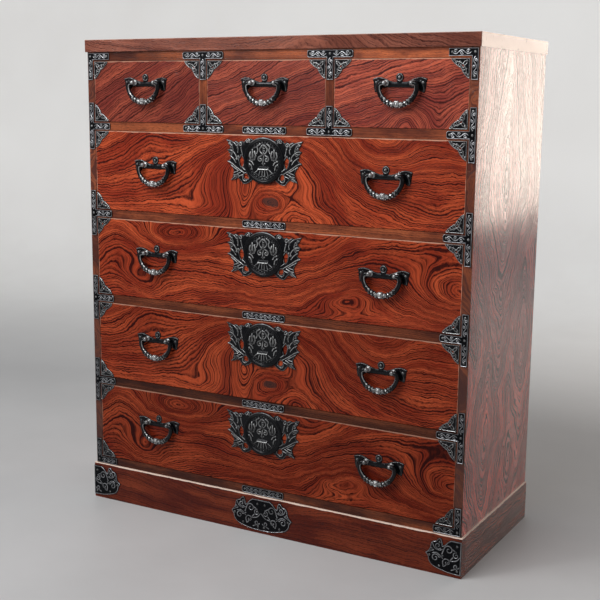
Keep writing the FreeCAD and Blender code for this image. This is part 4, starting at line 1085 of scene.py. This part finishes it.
# %% The relief of the pierced plate
LEAF_LINES = [
    [(104, 46), (94, 44), (84, 41), (74, 33), (70, 26), (71, 17)], [(72, 40), (84, 45), (96, 46), (104, 47)],
    [(99, 23), (88, 21), (80, 15), (75, 8), (73, 1)], [(99, 9), (90, 7), (82, 1), (76, -7)],
    [(70, 8), (68, -2), (63, -12), (56, -19), (49, -24)], [(100, -4), (88, -9), (76, -17), (64, -24), (54, -30)],
    [(90, -14), (80, -19), (68, -26)], [(91, -49), (82, -42), (73, -34), (63, -29)],
    [(86, -50), (76, -44), (66, -38), (58, -35)], [(90, -34), (81, -30), (71, -27)],
    [(62, 28), (60, 20), (58, 12)], [(92, 36), (86, 30), (84, 22)]]
LEAF_CURLS = [scroll((44, 44), 6.5, 3.6, -1.2, (34, 40)), scroll((64, 36), 5.5, 0.3, 1.1, (72, 28)),
              scroll((50, -43), 8.5, 1.6, -1.3, (40, -34)), scroll((73, -40), 4.5, 2.0, 1.2, (84, -36)),
              scroll((90, 30), 4, 2.0, 1.0, (97, 37)), scroll((88, 14), 3.6, 2.6, -1.1, (96, 16))]


def leaf_relief(x, z, depth):
    """The wings: long leaves that run out to the tips, curls at the shoulders and at the foot."""
    side = np.abs(x)
    lifted = np.maximum(engrave(side, z, LEAF_LINES, 1.9, 1.9, 0.9), engrave(side, z, LEAF_CURLS, 1.8, 1.9, 1.0))
    for window in WINDOWS:
        gap = nearest(window, side, z)[0]
        lifted = np.maximum(lifted, 1.5 * np.exp(-((gap - 1.3) / 1.0) ** 2))
    pillow = 1.7 * (1 - np.exp(-depth / 4.0))
    return 1.3 + pillow + np.maximum(lifted, rim(depth, 1.0, 0.9, 0.9))


def medallion_relief(x, z):
    """The medallion: rings, two tulips, a stem with curls, leaves, a ledge and the flutes of a bowl."""
    reach = np.hypot(x, z)
    angle = np.arctan2(z, x)
    ground = np.where(reach > 41, 3.9 - 0.25 * np.clip(47 - reach, 0, 6), 3.0)
    roll = 2.6 * np.sqrt(np.clip(1 - ((reach - 49.9) / 4.1) ** 2, 0, 1))
    beads = 1.4 * np.sqrt(np.clip(1 - ((reach - 42.2) / 1.3) ** 2, 0, 1)) * (0.6 + 0.4 * np.cos(34 * angle))
    scallops = 0.525 * np.sqrt(np.clip(1 - ((reach - 38.2 + 1.4 * np.cos(12 * angle)) / 1.2) ** 2, 0, 1))
    lifted = np.maximum(np.maximum(roll, beads), scallops)
    for sign in (-1, 1):
        petals = [[(sign * 25, 3), (sign * 21, 11), (sign * 24, 21)],
                  [(sign * 33, 3), (sign * 37, 10), (sign * 35, 19)], [(sign * 29, 2), (sign * 29.5, 25)]]
        leaves = [[(sign * 37, -1), (sign * 31, -4), (sign * 27, -10)],
                  [(sign * 38, -9), (sign * 33, -13), (sign * 31, -21)],
                  scroll((sign * 8.5, 3), 6.5, 1.6, -sign * 1.15, (sign * 2, 14)),
                  [(sign * 4, 34), (sign * 10, 27), (sign * 8, 20), (sign * 2, 15)],
                  [(sign * 10, 38), (sign * 17, 32), (sign * 15, 24), (sign * 18, 16)]]
        flutes = [[(sign * 15, -22), (sign * 24, -29)], [(sign * 9, -23), (sign * 13, -36)],
                  [(sign * 3, -23), (sign * 4, -38)]]
        lifted = np.maximum(lifted, engrave(x, z, petals, 3.4, 3.4, 1.6))
        lifted = np.maximum(lifted, engrave(x, z, leaves, 2.4, 2.6, 1.2))
        lifted = np.maximum(lifted, engrave(x, z, flutes, 1.5, 1.6, 0.8))
    for level in (34, 28, 22.5):
        lifted = np.maximum(lifted, dome(x, z, (0, level), 3.4, 2.6, 3, 0.25))
    lifted = np.maximum(lifted, rib(x, z, [(0, 20), (1.5, 12), (0, 4), (-1, -8)], 2.0, 2.8, 1.6))
    lifted = np.maximum(lifted, dome(x, z, (0, -7), 4.6, 2.3, 4, 0.2))
    ledge = np.clip((-14.8 - z) / 4.6, 0, 1) * (z > -21.6) * np.clip((15 - np.abs(x)) / 1.5, 0, 1)
    return ground + np.maximum(lifted, LEDGE_HIGH * ledge)


def lock_height(x, z, depth):
    reach = np.hypot(x, z)
    return np.where(reach < MEDALLION, np.maximum(medallion_relief(x, z), 0), leaf_relief(x, z, depth))


def ring_mask_and_top_highlight(x, z):
    """The medallion's outer ring stays black, but for a painted highlight along its top."""
    reach = np.hypot(x, z)
    return 0.92 * (reach > 42) * (reach < MEDALLION) * (1 - 0.6 * np.clip((z - 34) / 8, 0, 1))


lock_plate = relief_plate(lock_depth, (-LOCK_HALF, -57, LOCK_HALF, 57), 0.8, lock_height, 1.0, ring_mask_and_top_highlight)
print("pierced plate faces:", len(lock_plate[1]))

# %% [markdown]
# Each pierced plate hangs from the top of the plain one that it replaces. Its nails join the drawer's other
# fittings, and then every tray becomes one piece that rides on its drawer.

# %% Set the fittings and pierced plates on their drawers
for drawer, tray in fittings.items():
    plate_name = f"{drawer}_lock_plate"
    if plate_name in nodes:
        at = (0.0, FACE_Y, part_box(plate_name)[1].z - MEDALLION * MM)
        shown = Tray()
        shown.add(lock_plate, at)
        shown.finish(f"{drawer}_pierced_plate", lock_iron, drawer, plate_name)
        for left in (False, True):
            nails_on(tray, LOCK_NAILS, LOCK_SEAT, at, left)
    tray.finish(f"{drawer}_irons", handle_iron, drawer, f"{drawer}_fittings")

# %% [markdown]
# A bail is a bent bar: it leaves the eye sideways, turns down and runs in to the bottom, where it is twisted like
# rope and carries a blossom between two buds. It is swept along its centre line with a radius that changes on the way
# and round the bar. A thin bright line along its inner edge is a painted highlight.

# %% The bails
BAIL_DROP = 47.0
BAIL_LINE = [(28, 0), (33, 0), (38, -0.2), (42, -1.9), (44.6, -5.6), (45, -11), (43.6, -18), (40, -25.5),
             (34.5, -32.5), (27, -38.8), (18, -43.4), (9, -46.1), (0, -BAIL_DROP)]
BLOSSOM_UP, BUD_UP, BUD_ASIDE = 2.5, 2.0, 10.0


def bail_line():
    """The bail's centre line from the right eye to the left one, in the plane of the front."""
    right = smooth_line(BAIL_LINE, 4)
    return np.vstack([right, right[-2::-1] * (-1, 1)])


def swept_bail(sides):
    """The bar round its centre line: thin in the eyes, thick and twisted at the bottom, pale on the twist's crests as
    bare metal and painted highlight, and with a painted highlight line along its inner edge.
    """
    line = bail_line()
    runs = np.gradient(line, axis=0)
    runs /= np.linalg.norm(runs, axis=1)[:, None]
    length = np.concatenate([[0], np.cumsum(np.linalg.norm(np.diff(line, axis=0), axis=1))])
    middle = length[-1] / 2
    angles = np.arange(sides) * math.tau / sides
    rings, worn = [], []
    for (x, z), (run_x, run_z), at in zip(line, runs, length):
        from_middle = abs(at - middle)
        low = np.clip((50 - from_middle) / 14, 0, 1)
        centre = np.clip((38 - from_middle) / 12, 0.2, 1)
        neck = np.clip((at if at < middle else length[-1] - at) / 9, 0, 1)
        bar = 2.4 + 2.9 * neck + 0.8 * low
        twist = 1 + 0.19 * low * np.cos(2 * angles + math.copysign(1, at - middle) * from_middle * 0.72)
        beads = np.clip(2.2 * low * centre * ((twist - 1) / 0.19 - 0.55), 0, 1)
        # A pale line along the inner front edge, which faces the light from above: a painted highlight.
        painted_highlight_line = 0.75 * (1.2 - centre) * np.clip(1 - np.abs(angles - 1.25 * math.pi) / 0.35, 0, 1)
        worn.append(np.maximum(beads, painted_highlight_line))
        across = np.outer(np.cos(angles) * bar * twist, (-run_z, 0, run_x))
        deep = np.outer(np.sin(angles) * bar * twist, (0, 1, 0))
        rings.append(np.array([x, 0, z]) + across + deep)
    points = np.vstack(rings)
    ring, side = np.meshgrid(np.arange(len(line) - 1), np.arange(sides), indexing="ij")
    a = (ring * sides + side).ravel()
    b = (ring * sides + (side + 1) % sides).ravel()
    return points, np.column_stack([a, b, b + sides, a + sides]), np.concatenate(worn)


bail_bar = swept_bail(16)
BLOSSOM = turned([(0.02, -4.6), (3.5, -4.6), (5.8, -3.6), (7.0, -1.2), (7.6, 2.0), (7.4, 5.0), (6.2, 7.0),
                  (4.6, 7.6), (3.4, 6.7), (2.8, 7.5), (1.6, 8.3), (0.02, 8.5)], 24, petals=6, swell=0.12, worn=0.6)
BUD = turned([(0.02, -3.0), (3.0, -3.0), (4.6, -1.0), (5.0, 2.0), (4.2, 5.0), (2.6, 6.6), (0.02, 7.2)], 16, petals=4,
             swell=0.14, worn=0.5)
bail_iron = iron("bail_iron", painted_highlight=(1.0, 1.0, 1.0, 1), ground=0.01, dull=0.2, shiny=0.16, grain=0.08,
                 metallic=0.6, coat=0.4)
for bail, pivot in PIVOTS.items():
    tray = Tray()
    tray.add(bail_bar, tuple(pivot))
    tray.add(BLOSSOM, (pivot[0], pivot[1], pivot[2] - (BAIL_DROP - BLOSSOM_UP) * MM))
    for side in (-1, 1):
        tray.add(BUD, (pivot[0] + side * BUD_ASIDE * MM, pivot[1], pivot[2] - (BAIL_DROP - BUD_UP) * MM))
    tray.finish(f"{bail}_bar", bail_iron, bail, bail)

# %% [markdown]
# The straps that cover the joints of the frame share one look: a raised bead round the edge and a creeping
# vine with curled leaves down the middle. The vine is drawn once for any straight run, so that every arm of
# every strap gets one.


# %% The straps of the frame
# How far a strap's ridge stands proud before it is fully pale: bare metal and a painted highlight.
WEAR_AND_GLINT_FROM = 0.45


def vine(start, end, wide):
    """A waving stem with a curl in every bend, from one end of an arm to the other."""
    start, end = np.array(start, float), np.array(end, float)
    run = end - start
    length = np.linalg.norm(run)
    run /= length
    off = np.array([-run[1], run[0]])
    waves = max(2, round(length / 13))
    stem = [tuple(start + run * length * t + off * wide * 0.42 * math.sin(t * math.pi * waves))
            for t in np.linspace(0, 1, 6 * waves + 1)]
    lines = [stem]
    for k in range(waves):
        middle = start + run * length * (k + 0.5) / waves - off * wide * 0.2 * (-1) ** k
        turn = math.atan2(run[1], run[0]) + (0.6 if k % 2 else -0.6)
        lines.append(scroll(tuple(middle), wide * 0.42, turn, 1.1 if k % 2 else -1.1))
    return lines


def raised_ground(depth):
    """The height of a strap's or base plate's ground, with a soft edge."""
    return 1.5 + 0.7 * np.clip(depth / 0.8, 0, 1)


def strap(blocks, arms, box):
    """A strap made of joined rectangles, with a vine on every arm: its start, its end and its width."""
    lines = [line for start, end, wide in arms for line in vine(start, end, wide)]

    def depth_at(x, z):
        return np.max([block(x, z, *edges) for edges in blocks], axis=0)

    def height_at(x, z, depth):
        return raised_ground(depth) + np.maximum(rim(depth, 0.9, 0.7, 1.0), engrave(x, z, lines, 1.0, 0.85, 0.6))

    return relief_plate(depth_at, box, 0.9, height_at, WEAR_AND_GLINT_FROM)


ROUND, SQUARE = 5.0, 0.6
RAIL_HALF, STRAP_HALF, POST_HALF = 59.5, 8.5, 7.5
TEE, ARM = 58.0, 59.0
UPPER_VINE, LOWER_VINE, ARM_VINE = ((0, 10), (0, 50), 8), ((0, -50), (0, -10), 8), ((-ARM + 8, 0), (-9, 0), 9)
rail_strap = strap([(-RAIL_HALF, -STRAP_HALF, RAIL_HALF, STRAP_HALF, ROUND)], [((-50, 0), (50, 0), 9)],
                   (-RAIL_HALF, -STRAP_HALF, RAIL_HALF, STRAP_HALF))
side_tee = strap([(-POST_HALF, -TEE, POST_HALF, TEE, SQUARE), (-ARM, -STRAP_HALF, 0, STRAP_HALF, ROUND)],
                 [LOWER_VINE, UPPER_VINE, ARM_VINE], (-ARM, -TEE, POST_HALF, TEE))
print("strap faces:", len(rail_strap[1]), len(side_tee[1]))

# %% [markdown]
# Where the straps sit follows from the boards: a strap in the middle of every rail, and a tee wherever a rail
# meets the edge of a side board.

# %% Place the straps from the boards they cover
RAILS = ("rail_1", "rail_2", "rail_3", "rail_4", "bottom_rail")
post_x = middle_of("right_side_board").x
rail_levels = [middle_of(name).z for name in RAILS]
tray = Tray()
for level in rail_levels:
    tray.add(rail_strap, (0, FACE_Y, level))
tray.finish("rail_strap_plates", strap_iron, "chest", "rail_plates")
tray = Tray()
for level in rail_levels[:4]:
    tray.add(side_tee, (post_x, FACE_Y, level))
    tray.add(side_tee, (-post_x, FACE_Y, level), left=True)
tray.finish("side_tee_plates", strap_iron, "chest", "side_tees")

# %% [markdown]
# The four outer corners have straps of two arms. The dividers get tees that stand on the rail below them and
# hang from the one above. Both are drawn once, for the lower place, and mirrored for the others.

# %% Corner straps and the tees of the dividers
LEG_TOP = 57.5
corner_strap = strap([(-POST_HALF, -STRAP_HALF, POST_HALF, LEG_TOP, SQUARE),
                      (-ARM, -STRAP_HALF, POST_HALF, STRAP_HALF, SQUARE),
                      (-ARM, -STRAP_HALF, -20, STRAP_HALF, ROUND)],
                     [UPPER_VINE, ARM_VINE], (-ARM, -STRAP_HALF, POST_HALF, LEG_TOP))
divider_tee = strap([(-TEE, -STRAP_HALF, TEE, STRAP_HALF, ROUND),
                     (-STRAP_HALF, -STRAP_HALF, STRAP_HALF, LEG_TOP, SQUARE)],
                    [((-50, 0), (-10, 0), 9), ((10, 0), (50, 0), 9), ((0, 10), (0, 50), 9)],
                    (-TEE, -STRAP_HALF, TEE, LEG_TOP))
top_level = middle_of("top_rail").z
divider_x = middle_of("right_divider").x
tray = Tray()
for left, x in ((False, post_x), (True, -post_x)):
    tray.add(corner_strap, (x, FACE_Y, rail_levels[4]), left)
    tray.add(corner_strap, (x, FACE_Y, top_level), left, under=True)
tray.finish("corner_strap_plates", strap_iron, "chest", "corner_straps")
tray = Tray()
for left, x in ((False, divider_x), (True, -divider_x)):
    tray.add(divider_tee, (x, FACE_Y, rail_levels[0]), left)
    tray.add(divider_tee, (x, FACE_Y, top_level), left, under=True)
tray.finish("divider_tee_plates", strap_iron, "chest", "divider_tees")

# %% [markdown]
# The base has one broad plate in the middle and half of the same plate at each corner. A lobe and a notch
# break its upper edge, and large, loose scrolls fill it.

# %% The base plates
BASE_HALF, BASE_HIGH = 87.0, 80.0
BASE_SHARES = [
    [(0, 1), (0.29, 1)],
    [(0.29, 1), (0.38, 0.93), (0.46, 0.83), (0.515, 0.79)],
    [(0.515, 0.79), (0.53, 0.9), (0.57, 1), (0.65, 0.98), (0.71, 0.9)],
    [(0.71, 0.9), (0.79, 0.88), (0.85, 0.81), (0.87, 0.68), (0.92, 0.58), (1, 0.5)],
    [(1, 0.5), (0.93, 0.4), (0.9, 0.27), (0.8, 0.15), (0.62, 0.08), (0.35, 0.02), (0, 0)],
]
BASE_NAILS = [(10.4, 68), (52.2, 70.4), (76.6, 36), (52.2, 14.4), (8.7, 9.6)]
half_loop = np.vstack([loop_of(BASE_SHARES, BASE_HALF, BASE_HIGH), [(0, 0)]])
full_loop = loop_of(BASE_SHARES, BASE_HALF, BASE_HIGH, both_sides=True)
BASE_SCROLLS = [
    [(70, 66), (64, 56), (54, 52), (45, 55)], [(2, 44), (12, 34), (26, 30), (36, 20)],
    [(44, 34), (58, 44), (70, 42)], scroll((56, 62), 8, -2.4, 1.1), scroll((30, 56), 11, 0.3, 1.2, (46, 44)),
    scroll((62, 32), 10, 2.8, -1.2, (44, 40)), scroll((34, 26), 11, 5.2, 1.2, (20, 40)),
    scroll((12, 46), 8, 1.6, -1.2, (22, 60)), scroll((12, 20), 7, 3.4, 1.1, (22, 10)),
    scroll((72, 52), 5, 3.6, 1.0, (78, 44))]


def base_height(x, z, depth):
    scrolls = engrave(np.abs(x), z, BASE_SCROLLS, 1.5, 1.0, 0.8)
    return raised_ground(depth) + np.maximum(rim(depth, 1.3, 0.9, 1.0), scrolls)


def base_plate(loop, low_x):
    return relief_plate(lambda x, z: depth_in(loop, x, z), (low_x, 0, BASE_HALF, BASE_HIGH), 1.0, base_height,
                        WEAR_AND_GLINT_FROM)


centre_plate = base_plate(full_loop, -BASE_HALF)
half_plate = base_plate(half_loop, 0)
low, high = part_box("base_corner_plates")
tray = Tray()
tray.add(centre_plate, (0, BASE_Y, low.z))
tray.finish("base_middle_plate", base_iron, "chest", "base_centre_plate")
tray = Tray()
tray.add(half_plate, (low.x, BASE_Y, low.z))
tray.add(half_plate, (high.x, BASE_Y, low.z), left=True)
tray.finish("base_end_plates", base_iron, "chest", "base_corner_plates")

# %% [markdown]
# The nails of the frame's irons stand in the middle of every joint and near the end of every arm. They are one
# piece, like the plain nails that they replace.

# %% Nails of the frame's irons
tray = Tray()
for level in rail_levels:
    nails_on(tray, [(-51.5, 0), (0, 0), (51.5, 0)], STRAP_SEAT, (0, FACE_Y, level))
for left, x in ((False, post_x), (True, -post_x)):
    for level in rail_levels[:4]:
        nails_on(tray, [(-ARM + 8, 0), (0, 0), (0, 50), (0, -50)], STRAP_SEAT, (x, FACE_Y, level), left)
    for under, level in ((False, rail_levels[4]), (True, top_level)):
        nails_on(tray, [(-ARM + 8, 0), (0, 0), (0, 49.5)], STRAP_SEAT, (x, FACE_Y, level), left, under)
    nails_on(tray, BASE_NAILS, STRAP_SEAT, (high.x if left else low.x, BASE_Y, low.z), left)
    nails_on(tray, BASE_NAILS, STRAP_SEAT, (0, BASE_Y, low.z), left)
for left, x in ((False, divider_x), (True, -divider_x)):
    for under, level in ((False, rail_levels[0]), (True, top_level)):
        nails_on(tray, [(-50, 0), (0, 0), (50, 0), (0, 49.5)], STRAP_SEAT, (x, FACE_Y, level), left, under)
tray.finish("frame_dome_nails", handle_iron, "chest", "frame_nails")

# %% [markdown]
# The chest stands on a plain pale floor that bends up into a pale wall all round, so that no horizon and no
# edge shows from any side. The floor is an oval; the bend is a quarter circle carried round it.

# %% The floor and backdrop
HALF_WIDE, HALF_LONG, MIDDLE_Y, BEND, TALL = 7.5, 6.3, -2.7, 0.9, 4.5
turns = np.linspace(0, math.tau, 96, endpoint=False)
profile = [(BEND - BEND * math.sin(a), BEND - BEND * math.cos(a)) for a in np.linspace(0, math.pi / 2, 17)]
profile.append((0.0, TALL))
points = [((HALF_WIDE - inset) * math.cos(t), MIDDLE_Y + (HALF_LONG - inset) * math.sin(t), up)
          for inset, up in profile for t in turns]
faces = [tuple(range(len(turns)))]
for ring in range(len(profile) - 1):
    for k in range(len(turns)):
        a, b = ring * len(turns) + k, ring * len(turns) + (k + 1) % len(turns)
        faces.append((a, a + len(turns), b + len(turns), b))
sweep_mesh = bpy.data.meshes.new("studio_floor")
sweep_mesh.from_pydata(points, [], faces)
sweep_mesh.shade_smooth()
studio_floor = bpy.data.objects.new("studio_floor", sweep_mesh)
bpy.context.scene.collection.objects.link(studio_floor)
print("floor faces:", len(sweep_mesh.polygons))

# %% [markdown]
# The floor is painted in two close greys with a faint mottle. Towards the wall it glows a little, only for the
# camera and for mirrors, so that the wall looks pale and lights nothing.

# %% The paint of the floor
GREYS = (0.55, 0.55, 0.55, 1), (0.62, 0.62, 0.62, 1)
GLOWS = (0.95, 0.93, 0.9, 1), (1, 0.99, 0.96, 1)
floor_paint, bench, shader = new_material("pale_floor")
place = bench.here()
mottle = bench.spread(bench.noise(place, 1.6, 5.0, 0.6).outputs["Fac"], 0.3, 0.7)
bench.fill(shader.inputs["Base Color"], bench.blend(mottle, *GREYS))
bench.fill(shader.inputs["Roughness"], bench.spread(mottle, 0.0, 1.0, 0.42, 0.55))
bench.fill(shader.inputs["Emission Color"], bench.blend(mottle, *GLOWS))
light_path = floor_paint.node_tree.nodes.new("ShaderNodeLightPath").outputs
seen = bench.math("MULTIPLY_ADD", light_path["Is Glossy Ray"], 0.5, light_path["Is Camera Ray"])
wide, deep = bench.part(place)[:2]
wide = bench.math("DIVIDE", wide, HALF_WIDE)
deep = bench.math("DIVIDE", bench.math("SUBTRACT", deep, MIDDLE_Y), HALF_LONG)
reach = bench.math("SQRT", bench.math("ADD", bench.math("MULTIPLY", wide, wide), bench.math("MULTIPLY", deep, deep)))
wall_share = bench.spread(reach, 0.6, 1.0)
bench.fill(shader.inputs["Emission Strength"], bench.math("MULTIPLY", bench.math("MULTIPLY", seen, wall_share), 0.45))
sweep_mesh.materials.append(floor_paint)
print("floor painted:", floor_paint.name)

# %% [markdown]
# The light is soft and plain. An even sky fills the shadows, a broad lamp above the front falls off towards
# the base and glints on every upward edge of the irons, a small lamp on the left draws bright rims on them, and
# a bright panel stands behind the chest on the right, where the camera cannot see it but the lacquered side
# mirrors it.


# %% The lights
def panel(name, place, aim, size, radiance, colour=(1.0, 1.0, 1.0), roll=0.0):
    """A rectangular lamp of the given radiance that faces a point, rolled about its own line of sight."""
    lamp = bpy.data.lights.new(name, "AREA")
    lamp.shape = "RECTANGLE"
    lamp.size, lamp.size_y = size
    lamp.energy = radiance * math.pi * size[0] * size[1]
    lamp.color = colour
    obj = bpy.data.objects.new(name, lamp)
    ahead = np.array(aim, float) - np.array(place, float)
    ahead /= np.linalg.norm(ahead)
    side = np.cross(ahead, (0, 0, 1))
    side /= np.linalg.norm(side)
    side = math.cos(roll) * side + math.sin(roll) * np.cross(side, ahead)
    up = np.cross(side, ahead)
    obj.matrix_world = Matrix.Translation(place) @ Matrix(np.column_stack([side, up, -ahead]).tolist()).to_4x4()
    obj.visible_camera = False
    bpy.context.scene.collection.objects.link(obj)


panel("lamp_above", (-0.6, -1.8, 2.75), (0, -0.2, 0.8), (2.4, 1.5), 5.0)
panel("lamp_left", (-1.8, -2.9, 1.95), (0, -0.2, 0.8), (0.5, 0.5), 25.0)
panel("lamp_behind", (1.62, 3.0, 1.29), (1.3, 0.2, 0.99), (1.1, 1.6), 4.0, (1.0, 0.85, 0.73), math.radians(21))
world = bpy.data.worlds.new("studio_air")
world.use_nodes = True
sky = world.node_tree.nodes["Background"].inputs
sky["Color"].default_value = (0.95, 0.97, 1.0, 1)
sky["Strength"].default_value = 0.33
bpy.context.scene.world = world
bpy.context.scene.view_settings.view_transform = "Standard"
